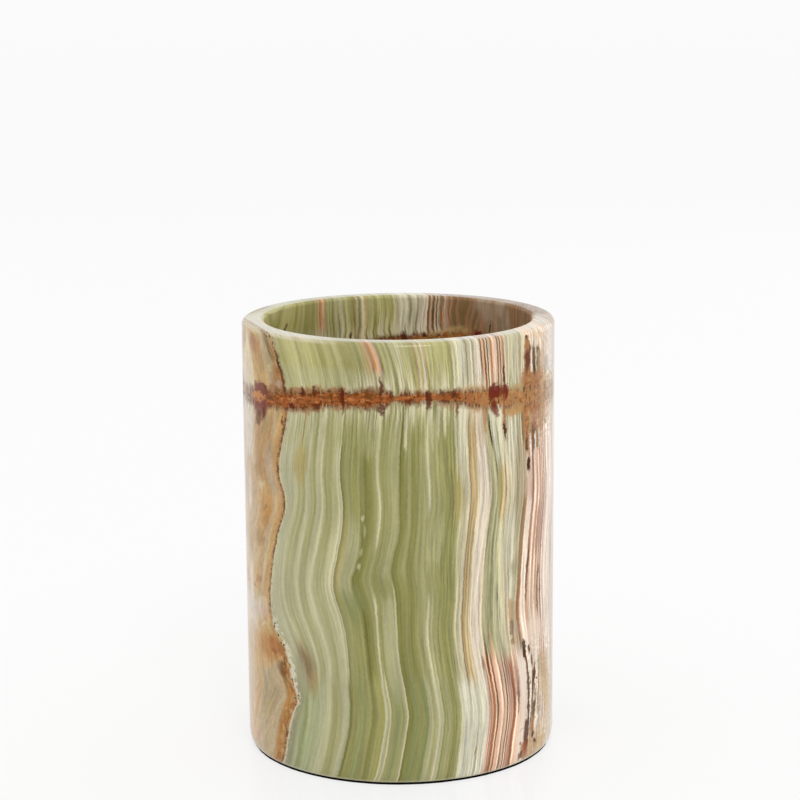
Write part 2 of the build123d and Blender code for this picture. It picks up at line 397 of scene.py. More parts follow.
# patch: a soft-edged oval or box in the plane of layer and height, turned by an angle
def makePatchGroup():
    tree, given, out = newGroup("stonePatch", [
        ("Place", "NodeSocketVector"), ("Centre", "NodeSocketVector"), ("Reach", "NodeSocketVector"),
        ("Turn", "NodeSocketFloat"), ("Edge", "NodeSocketFloat"), ("Power", "NodeSocketFloat"),
        ("Strength", "NodeSocketFloat")], [("Mask", "NodeSocketFloat")])
    offset = vecCalc(tree, "SUBTRACT", given["Place"], given["Centre"])
    turned = tree.nodes.new("ShaderNodeVectorRotate")
    turned.rotation_type = "Z_AXIS"
    feed(tree, turned.inputs["Vector"], offset)
    feed(tree, turned.inputs["Angle"], given["Turn"])
    share = vecCalc(tree, "ABSOLUTE", vecCalc(tree, "DIVIDE", turned.outputs[0], given["Reach"]))
    far = pick(tree, vecCalc(tree, "POWER", share, given["Power"]), 1, 1, 0)
    inside = calc(tree, "POWER", calc(tree, "SUBTRACT", 1.0, given["Edge"]), given["Power"])
    outside = calc(tree, "POWER", plus(tree, 1.0, given["Edge"]), given["Power"])
    tree.links.new(ease(tree, far, inside, outside, given["Strength"], 0.0), out["Mask"])
    return tree


stonePatch = makePatchGroup()

# marks in the stone: layer, height, half width, half height, turn in degrees, edge, power, colour, strength
greenMarks = [
    (-24.6, 85, 0.22, 6.5, 1, 0.5, 2, "umberDeep", 0.85),
    (-20.0, 38, 5.5, 14, 0, 0.5, 3, "sagePale", 0.3),
    (-8.6, 74, 0.5, 10, 0, 0.5, 3, "oliveMid", 0.6),
    (-16.2, 77, 1.7, 13, 0, 0.5, 3, "sageOlive", 0.5),
    (-6.9, 86, 2.0, 5.6, 0, 0.5, 3, "sage", 0.6),
    (-5.3, 96.0, 1.9, 2.6, 0, 0.5, 2.5, "creamGreen", 0.75),
    (-18.5, 96.4, 11.0, 2.2, 0, 0.7, 3, "sagePale", 0.4),
    (-24.8, 76, 1.9, 4.0, 0, 0.5, 2, "gold", 0.7),
    (-25.2, 26.6, 1.9, 5.4, -6, 0.6, 2, "umber", 0.7),
    (-25.7, 27.5, 1.0, 2.8, -10, 0.7, 2, "umberDeep", 0.8),
    (-23.6, 23.5, 0.7, 2.6, -6, 0.6, 2, "gold", 0.6),
    (-10.9, 54, 1.8, 9.0, 0, 0.4, 2.5, "sagePale", 0.5),
    (-12.6, 54, 0.6, 9, 0, 0.5, 3, "gold", 0.45),
    (-10.8, 43, 1.8, 3.4, 0, 0.6, 2, "leafDark", 0.5),
    (-8.3, 45, 1.2, 2.6, 0, 0.6, 2, "leafDark", 0.5),
    (-8.6, 64.2, 0.4, 0.6, 0, 0.5, 2, "creamGreen", 0.8),
    (-8.0, 61, 0.3, 1.2, 0, 0.6, 2, "sage", 0.7),
    (-8.4, 56, 0.4, 0.8, 0, 0.6, 2, "sage", 0.7),
    (-8.0, 52.6, 0.45, 0.6, 0, 0.5, 2, "creamGreen", 0.7),
    (-4.6, 51.5, 0.7, 5.5, 0, 0.35, 3, "oliveMid", 0.75),
    (-2.2, 48, 1.9, 2.4, 0, 0.4, 3, "oliveMid", 0.7),
    (-0.15, 35, 0.2, 13, 0, 0.3, 3, "cream", 0.8),
    (-1.7, 33, 1.5, 11, 0, 0.35, 3, "sagePale", 0.45),
    (2.0, 38, 1.8, 11, 0, 0.3, 4, "oliveDark", 0.55),
    (1.05, 86.2, 0.45, 5.6, -3, 0.3, 2.5, "cream", 0.9),
    (1.2, 80.6, 0.3, 0.9, 0, 0.6, 2, "oliveDeep", 0.6),
    (5.5, 88.5, 0.3, 4.0, 0, 0.4, 2, "cream", 0.8),
    (3.2, 89.5, 0.35, 2.6, 0, 0.4, 2, "creamGreen", 0.7),
    (8.2, 86, 0.35, 5.5, 0, 0.4, 2, "creamGreen", 0.7),
    (9.6, 88, 0.35, 5.0, 0, 0.4, 2, "cream", 0.7),
    (11.2, 88.2, 0.4, 4.0, 0, 0.35, 2.5, "cream", 0.75),
    (6.9, 56, 0.55, 9.5, 0, 0.25, 4, "sageOlive", 0.9),
    (9.8, 58.5, 1.0, 6.0, 4, 0.3, 3, "sage", 0.7),
    (7.8, 57, 0.8, 5.8, 3, 0.35, 3, "sage", 0.6),
    (10.8, 48.0, 3.4, 5.0, 0, 0.3, 4, "oliveMid", 0.55),
    (13.2, 44, 1.2, 10, 0, 0.5, 3, "oliveMid", 0.5),
    (8.0, 30, 0.25, 17, 0, 0.4, 3, "creamGreen", 0.6),
    (14.2, 70, 1.0, 5.5, 0, 0.6, 3, "gold", 0.5),
    (13.95, 83, 0.3, 8.0, 0, 0.3, 3, "cream", 0.85),
    (14.35, 83, 0.14, 8.0, 0, 0.5, 3, "oliveDark", 0.6),
    (15.4, 82, 0.9, 9.0, 0, 0.4, 3, "mist", 0.6),
    (17.3, 89, 0.25, 3.0, 0, 0.5, 2, "umberDeep", 0.7),
    (17.9, 82, 0.45, 6.0, 0, 0.6, 2, "honey", 0.6),
    (19.15, 83, 0.22, 5.0, 0, 0.5, 2, "orange", 0.5),
    (20.8, 86, 1.6, 5.0, 0, 0.4, 3, "beige", 0.5),
    (23.7, 84, 0.24, 5.0, -3, 0.4, 2, "shadow", 0.95),
    (24.9, 82.5, 0.55, 7.5, -3, 0.3, 3, "mist", 0.95),
    (26.2, 83, 0.55, 7.0, -2, 0.3, 3, "mist", 0.9),
    (25.55, 83, 0.18, 7.0, -2, 0.5, 3, "oliveMid", 0.85),
    (26.5, 68.5, 1.0, 5.6, 0, 0.5, 3, "honey", 0.65),
    (25.6, 70, 0.5, 5.0, 0, 0.6, 3, "gold", 0.6),
    (27.5, 69, 0.25, 6.0, 0, 0.4, 3, "peach", 0.8),
    (29.4, 80, 0.9, 6.5, 0, 0.35, 3, "mist", 0.7),
    (31.0, 81, 0.6, 5.5, 0, 0.4, 3, "mist", 0.6),
    (32.0, 70, 1.2, 9, 0, 0.3, 4, "taupe", 0.8),
    (29.6, 57, 1.5, 6, 0, 0.5, 3, "mist", 0.7),
    (31.6, 49.4, 1.5, 1.8, 0, 0.5, 2, "mossGrey", 0.6),
    (30.0, 45, 1.3, 3.5, 0, 0.5, 3, "mist", 0.6),
    (33.8, 72.5, 0.8, 6.0, 0, 0.4, 3, "greyBeige", 0.8),
    (22.9, 29, 0.25, 5.0, 0, 0.5, 2, "barkDeep", 0.7),
    (24.3, 31, 0.3, 4.0, 0, 0.5, 2, "apricot", 0.7),
    (21.7, 27.5, 0.3, 1.8, 4, 0.4, 2, "clay", 0.8),
    (18.6, 6.2, 0.25, 0.9, 0, 0.4, 2, "gold", 0.9),
    (-27.8, 23.0, 1.3, 5.0, 0, 0.6, 2, "mossGrey", 0.6),
    (-27.6, 85.0, 1.6, 4.2, 0, 0.6, 2, "sage", 0.6),
    (-13.4, 85.4, 4.6, 3.6, 0, 0.6, 2, "sageOlive", 0.5),
    (-11.2, 85.5, 2.1, 3.6, 0, 0.5, 3, "oliveMid", 0.45),
    (5.3, 85.4, 1.2, 3.6, 0, 0.6, 2, "oliveMid", 0.6),
]
leftMarks = [
    (-45.0, 80, 2.6, 5.0, -12, 0.6, 2, "pearl", 0.8),
    (-38.6, 79, 3.6, 5.6, -20, 0.6, 2, "fawn", 0.75),
    (-36.6, 84, 2.0, 2.6, 0, 0.7, 2, "taupe", 0.5),
    (-34.8, 80, 0.5, 5.0, -6, 0.6, 2, "ochre", 0.6),
    (-38.0, 73, 3.4, 1.6, -28, 0.7, 2, "fawn", 0.75),
    (-33.6, 73, 1.4, 5.5, -18, 0.7, 2, "ash", 0.7),
    (-39.8, 68.6, 2.2, 0.5, -24, 0.6, 2, "wheat", 0.75),
    (-43.2, 67, 2.4, 4.0, 0, 0.7, 2, "fawn", 0.35),
    (-36.8, 63, 2.4, 3.6, -20, 0.6, 2, "ochre", 0.55),
    (-37.6, 63.2, 1.0, 0.8, -40, 0.5, 2, "umber", 0.6),
    (-35.8, 60.5, 1.0, 2.2, 0, 0.6, 2, "ochre", 0.75),
    (-33.8, 61, 0.8, 5.0, 6, 0.6, 2, "beige", 0.6),
    (-43.8, 53.5, 2.4, 5.0, -18, 0.7, 2, "fawn", 0.5),
    (-37.4, 55, 1.8, 1.4, 10, 0.7, 2, "umber", 0.55),
    (-38.5, 50, 1.8, 2.6, 0, 0.7, 2, "wheat", 0.5),
    (-33.4, 51, 0.7, 7.0, 4, 0.6, 2, "wheat", 0.45),
    (-44.0, 42, 4.0, 9.0, -14, 0.6, 2, "pearl", 0.85),
    (-36.2, 44.6, 1.8, 1.0, -16, 0.5, 2, "saddle", 0.6),
    (-38.4, 42.3, 0.9, 0.3, -8, 0.5, 2, "umber", 0.8),
    (-36.0, 40.2, 2.6, 1.2, 6, 0.6, 2, "sand", 0.6),
    (-38.6, 36.8, 6.0, 2.2, -16, 0.6, 2, "pearl", 0.7),
    (-33.8, 37.2, 1.6, 1.4, -40, 0.6, 2, "rose", 0.5),
    (-40.0, 27.8, 8.4, 3.7, -24, 0.45, 2, "tan", 0.9),
    (-36.6, 29.2, 5.4, 2.6, -22, 0.5, 2, "ochre", 0.85),
    (-33.4, 33.2, 2.6, 0.7, -16, 0.6, 2, "honey", 0.8),
    (-35.4, 33.8, 2.4, 0.5, -20, 0.5, 2, "wheat", 0.6),
    (-34.6, 29.6, 2.0, 1.7, -24, 0.6, 2, "saddle", 0.8),
    (-35.2, 28.2, 1.3, 0.5, -24, 0.5, 2, "copper", 0.7),
    (-34.2, 30.9, 1.0, 0.4, -24, 0.5, 2, "copper", 0.6),
    (-31.6, 29.2, 1.2, 1.4, 0, 0.6, 2, "saddle", 0.85),
    (-33.0, 24.2, 1.6, 2.2, -20, 0.5, 2, "root", 0.75),
    (-31.5, 26.8, 0.5, 1.4, 14, 0.5, 2, "root", 0.8),
    (-32.2, 21.6, 1.3, 1.2, 0, 0.6, 2, "umber", 0.8),
    (-40.8, 17.4, 3.0, 4.2, 0, 0.7, 2, "taupe", 0.45),
    (-39.0, 12.8, 2.6, 2.4, 0, 0.7, 2, "gold", 0.3),
    (-45.6, 16, 1.2, 7.0, -4, 0.7, 2, "tan", 0.75),
    (-43.4, 4.6, 2.2, 1.2, -10, 0.7, 2, "rose", 0.6),
    (-36.0, 12.4, 0.8, 2.6, 30, 0.7, 2, "ash", 0.5),
    (-30.5, 18.2, 0.7, 2.0, -8, 0.5, 2, "root", 0.75),
    (-32.2, 9.8, 0.8, 2.4, 6, 0.6, 2, "saddle", 0.7),
    (-31.7, 2.6, 1.0, 1.2, 0, 0.5, 2, "root", 0.7),
    (-30.4, 2.8, 0.35, 0.4, 0, 0.4, 2, "hollow", 0.8),
    (-30.1, 8.4, 0.3, 0.6, 10, 0.4, 2, "hollow", 0.9),
    (-40.0, 102.3, 2.5, 1.6, -8, 0.6, 2, "saddle", 0.75),
    (-38.6, 99.4, 1.6, 2.2, 0, 0.7, 2, "fawn", 0.75),
    (-36.0, 98.6, 1.6, 2.4, 30, 0.7, 2, "taupe", 0.55),
    (-34.6, 97.6, 0.4, 0.7, 30, 0.5, 2, "wheat", 0.7),
    (-32.6, 102.2, 0.8, 3.2, -14, 0.5, 2, "umberDeep", 0.75),
    (-32.2, 105, 0.6, 0.6, 0, 0.5, 2, "root", 0.7),
    (-30.4, 103, 0.6, 2.0, -8, 0.5, 2, "wheat", 0.7),
    (-32.8, 95.6, 1.4, 2.2, 20, 0.6, 2, "saddle", 0.6),
    (-31.1, 96.0, 0.7, 1.9, -6, 0.5, 2, "copper", 0.85),
]
rightMarks = [
    (36.2, 72.0, 0.9, 6.0, 0, 0.5, 3, "rose", 0.65),
    (40.3, 40.0, 3.2, 6.5, 0, 0.6, 2, "peach", 0.3),
    (40.5, 57.5, 3.2, 5.0, 0, 0.6, 2, "clay", 0.2),
    (32.8, 13.0, 2.0, 14.0, 0, 0.4, 3, "blush", 0.6),
    (33.4, 23.0, 1.4, 5.5, 0, 0.5, 2, "snow", 0.5),
    (39.4, 94.4, 5.2, 2.2, 0, 0.4, 3, "saddle", 0.9),
    (36.7, 98.6, 1.5, 5.2, 0, 0.25, 3, "saddle", 0.9),
    (36.6, 102.8, 1.3, 1.1, 0, 0.35, 2.5, "saddle", 0.85),
    (36.3, 104.2, 0.8, 0.45, 0, 0.4, 2, "hollow", 0.9),
    (36.8, 99.0, 1.0, 2.2, 0, 0.4, 2.5, "wine", 0.85),
    (36.2, 96.6, 0.6, 1.2, 0, 0.5, 2, "root", 0.6),
    (38.0, 101.4, 0.6, 0.8, 0, 0.4, 2, "root", 0.85),
    (38.6, 98.2, 0.5, 2.4, 0, 0.4, 2.5, "snow", 0.95),
    (39.9, 98.2, 0.85, 3.9, -3, 0.3, 2.5, "root", 0.95),
    (40.0, 96.4, 0.35, 1.8, 0, 0.4, 2, "hollow", 0.85),
    (40.9, 96.8, 0.35, 1.6, 0, 0.4, 2, "cream", 0.85),
    (42.2, 98.2, 1.15, 3.3, 4, 0.35, 2.5, "umber", 0.9),
    (42.0, 100.6, 0.9, 0.5, 12, 0.5, 2, "root", 0.75),
    (41.6, 97.6, 0.35, 1.2, 0, 0.5, 2, "root", 0.6),
    (44.6, 98.4, 1.0, 3.2, 10, 0.6, 2, "fawn", 0.65),
    (46.8, 96.9, 1.8, 1.3, 0, 0.5, 2, "ash", 0.85),
    (46.2, 94.7, 0.9, 0.7, 0, 0.5, 2, "taupe", 0.8),
    (41.6, 103.6, 0.4, 1.6, -40, 0.5, 2, "apricot", 0.6),
    (44.2, 103.4, 0.35, 2.2, -40, 0.5, 2, "tan", 0.7),
    (46.4, 103.0, 0.35, 2.2, -50, 0.5, 2, "beige", 0.7),
    (39.8, 90.4, 6.0, 4.6, 0, 0.2, 3, "saddle", 0.92),
    (49.0, 90.4, 5.0, 3.4, 0, 0.5, 3, "tan", 0.75),
    (39.6, 85.6, 5.0, 4.6, -6, 0.3, 3, "saddle", 0.7),
    (37.0, 83.6, 1.6, 2.4, 0, 0.3, 3, "fawn", 0.9),
    (39.7, 79.6, 1.6, 2.8, 0, 0.3, 3, "umber", 0.85),
    (42.8, 82.0, 1.2, 2.6, 0, 0.5, 2, "fawn", 0.6),
    (35.5, 84.6, 0.9, 4.0, 0, 0.4, 2.5, "saddle", 0.95),
    (35.2, 87.8, 0.6, 1.0, 0, 0.5, 2, "root", 0.6),
    (35.2, 79.0, 0.5, 2.2, 4, 0.3, 2.5, "root", 0.98),
    (39.2, 87.4, 1.4, 0.9, 0, 0.6, 2, "copper", 0.7),
    (38.6, 92.2, 2.6, 0.9, 0, 0.6, 2, "copper", 0.6),
    (37.2, 92.4, 0.6, 0.4, 0, 0.5, 2, "wine", 0.5),
    (38.9, 83.0, 0.9, 1.2, 0, 0.4, 2, "plum", 0.55),
    (39.3, 81.8, 0.5, 0.5, 0, 0.5, 2, "root", 0.6),
    (38.9, 78.8, 0.55, 1.3, 10, 0.4, 2, "root", 0.9),
    (40.8, 79.2, 0.4, 1.3, -6, 0.4, 2, "root", 0.85),
    (40.0, 77.2, 0.6, 0.5, 0, 0.4, 2, "root", 0.8),
    (37.0, 81.6, 0.8, 0.5, 0, 0.5, 2, "umber", 0.8),
    (45.8, 86.5, 2.4, 3.4, 0, 0.6, 2, "fawn", 0.6),
    (47.4, 86.0, 1.8, 2.2, 0, 0.6, 2, "blossom", 0.5),
    (45.6, 82.8, 0.7, 0.35, 12, 0.5, 2, "umber", 0.7),
    (35.6, 73.9, 0.65, 2.0, 3, 0.2, 3, "hollow", 0.98),
    (34.9, 73.6, 0.2, 2.4, 0, 0.5, 2, "milk", 0.8),
    (36.9, 78.0, 0.4, 2.6, 0, 0.35, 2.5, "snow", 0.85),
    (39.3, 78.6, 0.4, 2.2, 0, 0.35, 2.5, "snow", 0.8),
    (41.4, 79.6, 0.4, 2.2, 0, 0.35, 2.5, "snow", 0.7),
    (35.9, 79.4, 0.4, 3.4, 0, 0.35, 2.5, "saddle", 0.8),
    (38.1, 79.6, 0.5, 3.2, 0, 0.35, 2.5, "root", 0.75),
    (40.4, 80.2, 0.45, 2.6, 0, 0.35, 2.5, "saddle", 0.75),
    (43.0, 20.0, 0.4, 11.0, -4, 0.35, 3, "snow", 0.75),
    (44.7, 13.0, 0.45, 9.0, -4, 0.35, 3, "snow", 0.7),
    (43.8, 17.0, 0.32, 9.0, -4, 0.3, 3, "copper", 0.8),
    (45.7, 20.0, 0.4, 10.0, -4, 0.35, 3, "saddle", 0.65),
    (42.0, 11.0, 0.3, 6.0, -6, 0.3, 3, "root", 0.5),
    (43.6, 70.0, 0.3, 9.0, 0, 0.5, 3, "rosewood", 0.75),
    (44.9, 70.0, 0.3, 8.0, 0, 0.5, 3, "rosewood", 0.6),
    (37.2, 68.0, 0.35, 3.0, 4, 0.5, 2, "clay", 0.6),
    (37.7, 50.5, 0.3, 3.4, 4, 0.4, 2.5, "bark", 0.85),
    (37.3, 45.5, 0.28, 4.0, -3, 0.4, 2.5, "bark", 0.8),
    (34.1, 41, 0.75, 6.0, 3, 0.35, 2.5, "copper", 0.6),
    (41.1, 57.5, 0.4, 5.5, 0, 0.4, 3, "clay", 0.75),
    (42.7, 57.5, 0.5, 5.5, 0, 0.4, 3, "rosewood", 0.85),
    (44.0, 58.0, 0.4, 6.0, 0, 0.5, 3, "clay", 0.6),
    (34.2, 54, 0.5, 9.0, 0, 0.5, 3, "umber", 0.7),
    (32.8, 43, 0.3, 6.0, 2, 0.5, 2, "cream", 0.8),
    (34.4, 36.5, 0.5, 3.0, 6, 0.5, 2, "clay", 0.7),
    (30.2, 39.4, 1.5, 2.8, 4, 0.4, 3, "fawn", 0.75),
    (28.75, 36, 0.2, 6.0, 0, 0.5, 2, "peach", 0.8),
    (30.2, 35.0, 1.15, 1.9, 4, 0.3, 3, "bark", 0.7),
    (30.4, 31.9, 0.7, 1.2, 8, 0.5, 2, "saddle", 0.7),
    (29.9, 31.8, 0.9, 0.5, 0, 0.5, 2, "umberDeep", 0.6),
    (32.2, 33.0, 0.35, 5.0, 8, 0.5, 2, "rose", 0.7),
    (33.2, 31.0, 0.3, 5.0, 6, 0.5, 2, "rose", 0.6),
    (43.0, 46.6, 0.35, 1.2, 8, 0.5, 2, "bark", 0.85),
    (42.4, 40.5, 0.35, 5.0, 0, 0.4, 2.5, "bark", 0.85),
    (43.9, 41.6, 0.3, 4.0, 2, 0.5, 2, "bark", 0.8),
    (41.0, 43.0, 0.3, 4.0, 2, 0.5, 2, "clay", 0.6),
    (40.3, 31, 3.4, 4.5, 0, 0.6, 2, "blush", 0.75),
    (29.6, 20.5, 0.9, 5.5, 0, 0.5, 2.5, "rosewood", 0.8),
    (29.6, 17.2, 0.55, 3.2, 0, 0.5, 2, "wine", 0.6),
    (46.0, 17.0, 2.6, 7.0, -24, 0.5, 2.5, "tan", 0.85),
    (44.6, 20.5, 1.2, 3.0, -30, 0.6, 2, "fawn", 0.5),
    (38.8, 3.6, 3.2, 3.6, 0, 0.4, 3, "fawn", 0.7),
    (44.5, 3.0, 3.0, 1.8, 0, 0.6, 2, "tan", 0.7),
    (36.9, 19.0, 0.6, 10.0, 0, 0.4, 3, "snow", 0.9),
    (39.7, 22.0, 0.6, 6.5, 6, 0.4, 2.5, "snow", 0.9),
    (40.4, 11.0, 0.5, 4.0, 0, 0.4, 2, "snow", 0.85),
    (37.5, 13.0, 0.35, 5.0, 3, 0.4, 2.5, "bark", 0.9),
    (39.2, 15.6, 0.3, 3.0, -4, 0.4, 2.5, "bark", 0.9),
    (41.0, 17.0, 0.35, 5.0, 4, 0.4, 2.5, "saddle", 0.85),
    (42.8, 27.0, 0.3, 3.0, 6, 0.5, 2, "fawn", 0.8),
    (35.3, 28.5, 0.65, 2.6, 4, 0.2, 3, "hollow", 0.95),
    (35.6, 24.5, 0.35, 2.4, -4, 0.4, 2.5, "root", 0.95),
    (35.8, 16.5, 0.5, 6.5, -2, 0.3, 3, "root", 0.95),
    (36.0, 14.0, 0.3, 4.0, -2, 0.4, 2.5, "hollow", 0.5),
    (37.2, 28.2, 0.4, 1.3, 4, 0.35, 2, "root", 0.95),
    (37.9, 25.3, 0.45, 1.2, -4, 0.4, 2, "root", 0.9),
    (38.6, 20.0, 0.55, 3.8, 12, 0.3, 2.5, "root", 0.97),
    (38.4, 22.0, 0.3, 1.2, 12, 0.5, 2, "hollow", 0.7),
    (38.6, 12.2, 0.85, 2.2, 0, 0.3, 3, "umberDeep", 0.95),
    (38.6, 13.6, 0.7, 0.5, 0, 0.5, 2, "root", 0.7),
    (38.5, 8.4, 0.8, 1.9, 6, 0.35, 2.5, "saddle", 0.95),
    (38.9, 6.0, 0.6, 0.9, 16, 0.4, 2, "hollow", 0.9),
    (40.7, 3.9, 1.0, 0.55, 30, 0.45, 2, "root", 0.9),
    (41.8, 23.0, 0.55, 2.6, 6, 0.5, 2, "taupe", 0.85),
    (41.4, 12.0, 0.6, 1.3, 10, 0.5, 2, "taupe", 0.85),
    (40.2, 20.0, 0.5, 0.45, 0, 0.4, 2, "root", 0.9),
    (36.6, 19.9, 0.7, 0.3, 0, 0.5, 2, "root", 0.7),
    (35.6, 7.0, 1.1, 3.4, 0, 0.3, 3, "wine", 0.9),
    (35.0, 3.2, 1.7, 1.9, 0, 0.4, 2.5, "copper", 0.85),
    (33.2, 2.0, 1.1, 1.2, 0, 0.4, 2.5, "root", 0.85),
    (32.9, 8.5, 0.9, 0.28, -6, 0.5, 2, "umber", 0.85),
    (32.8, 4.9, 0.6, 0.45, 0, 0.5, 2, "umberDeep", 0.8),
]
seamStains = [
    (-34.0, 92.2, 3.2, 1.5, -8, 0.6, 2, "copper", 0.7),
    (-32.4, 93.9, 1.0, 0.8, 0, 0.6, 2, "ash", 0.6),
    (-27.0, 92.5, 3.6, 1.3, -8, 0.6, 2, "copper", 0.75),
    (-21.5, 93.2, 2.8, 1.3, -4, 0.6, 2, "copper", 0.7),
    (-24.0, 89.6, 5.0, 0.9, -8, 0.6, 2, "copper", 0.65),
    (-15.4, 93.6, 2.6, 1.2, 0, 0.6, 2, "copper", 0.75),
    (-14.4, 90.8, 2.2, 0.9, 0, 0.6, 2, "copper", 0.7),
    (-6.4, 93.7, 3.0, 1.5, 0, 0.6, 2, "bark", 0.75),
    (-6.0, 91.4, 2.4, 0.9, 0, 0.6, 2, "bark", 0.7),
    (12.6, 92.2, 2.6, 1.8, 0, 0.6, 2, "copper", 0.5),
    (18.2, 93.6, 3.6, 1.4, -4, 0.6, 2, "tan", 0.75),
    (19.2, 90.6, 2.4, 1.6, 0, 0.6, 2, "ochre", 0.6),
    (31.6, 92.4, 3.0, 1.2, 0, 0.5, 2.5, "honey", 0.9),
    (31.4, 88.4, 3.2, 1.8, -4, 0.4, 2.5, "ochre", 0.9),
]
seamMarks = [
    (-40.6, 91.8, 3.1, 1.6, -4, 0.25, 3, "plum", 0.92),
    (-40.8, 87.2, 3.0, 1.9, -4, 0.3, 3, "plum", 0.9),
    (-41.4, 84.4, 1.4, 1.5, -14, 0.4, 2, "root", 0.8),
    (-38.9, 86.2, 0.7, 1.4, -20, 0.5, 2, "wine", 0.7),
    (-37.8, 92.3, 0.6, 1.0, 0, 0.5, 2, "root", 0.7),
    (-42.0, 89.8, 3.2, 0.9, -4, 0.5, 2, "orange", 0.75),
    (-30.4, 98.6, 0.45, 1.0, 0, 0.5, 2, "hollow", 0.9),
    (-30.2, 95.6, 0.4, 2.4, 3, 0.5, 2, "root", 0.9),
    (-30.6, 93.0, 0.4, 0.7, 0, 0.5, 2, "hollow", 0.7),
    (-30.0, 100.3, 0.3, 0.5, 0, 0.5, 2, "root", 0.8),
    (-31.4, 85.6, 0.35, 0.9, 0, 0.4, 2, "root", 0.85),
    (-28.6, 92.8, 0.4, 0.7, 0, 0.5, 2, "root", 0.8),
    (-28.7, 89.6, 0.9, 0.45, 8, 0.4, 2, "wine", 0.9),
    (-25.2, 93.2, 0.6, 0.9, 0, 0.5, 2, "wine", 0.85),
    (-23.2, 92.9, 0.5, 0.7, 0, 0.5, 2, "root", 0.8),
    (-21.9, 93.6, 0.7, 1.0, 0, 0.5, 2, "wine", 0.8),
    (-21.4, 90.2, 1.0, 0.7, 0, 0.5, 2, "wine", 0.8),
    (-17.2, 93.4, 0.5, 0.8, 0, 0.5, 2, "root", 0.8),
    (-14.6, 93.6, 1.0, 0.9, 0, 0.6, 2, "wine", 0.7),
    (-14.0, 92.6, 0.45, 2.4, 0, 0.4, 2, "wine", 0.9),
    (-13.9, 89.8, 0.3, 1.2, 0, 0.5, 2, "root", 0.7),
    (-10.6, 93.6, 0.6, 0.6, 0, 0.5, 2, "root", 0.7),
    (-8.2, 93.8, 0.5, 0.9, 0, 0.5, 2, "root", 0.75),
    (-4.6, 95.8, 0.45, 1.9, 0, 0.4, 2, "wine", 0.85),
    (-4.8, 90.2, 0.9, 0.7, 0, 0.5, 2, "wine", 0.85),
    (-2.6, 93.9, 0.4, 0.9, 0, 0.5, 2, "wine", 0.75),
    (1.0, 94.0, 0.7, 0.5, 0, 0.5, 2, "wine", 0.75),
    (1.4, 92.2, 1.1, 0.4, 0, 0.5, 2, "wine", 0.7),
    (4.4, 93.9, 0.5, 0.5, 0, 0.5, 2, "root", 0.7),
    (7.25, 92.5, 0.65, 2.2, 0, 0.35, 2.5, "wine", 0.92),
    (10.2, 94.0, 0.5, 0.6, 0, 0.5, 2, "wine", 0.7),
    (13.2, 93.6, 0.7, 0.8, 0, 0.5, 2, "wine", 0.8),
    (13.9, 90.3, 0.25, 1.8, 0, 0.5, 2, "root", 0.75),
    (17.2, 92.6, 0.4, 1.2, 0, 0.5, 2, "copper", 0.8),
    (20.4, 92.6, 0.5, 1.0, 0, 0.5, 2, "copper", 0.7),
    (22.4, 89.0, 0.6, 5.2, 0, 0.5, 2, "saddle", 0.8),
    (26.6, 92.6, 0.6, 1.5, 0, 0.5, 2, "copper", 0.8),
    (25.2, 92.9, 1.35, 1.8, 0, 0.2, 4, "garnet", 0.92),
    (25.4, 88.9, 0.75, 1.9, -14, 0.45, 2, "garnet", 0.85),
    (28.05, 92.8, 0.75, 1.8, 0, 0.25, 3, "garnet", 0.9),
    (27.0, 93.0, 0.3, 1.4, 0, 0.5, 2, "wine", 0.7),
    (27.75, 96.6, 0.25, 2.0, 0, 0.4, 2, "hollow", 0.85),
    (27.8, 87.4, 0.4, 4.0, 0, 0.5, 2, "copper", 0.8),
    (27.8, 83.6, 0.38, 1.7, 0, 0.35, 2.5, "wine", 0.95),
    (35.1, 92.3, 0.5, 0.8, 0, 0.5, 2, "wine", 0.75),
]


def layMarks(tree, place, colour, marks):  # paints a list of marks in their order
    for layer, height, wide, tall, turn, edge, power, name, strength in marks:
        mask = useGroup(tree, stonePatch, Place=place, Centre=(layer, height, 0), Reach=(wide, tall, 1),
                        Turn=radians(turn), Edge=edge, Power=power, Strength=strength)["Mask"]
        colour = paint(tree, mask, colour, tones[name])
    return colour


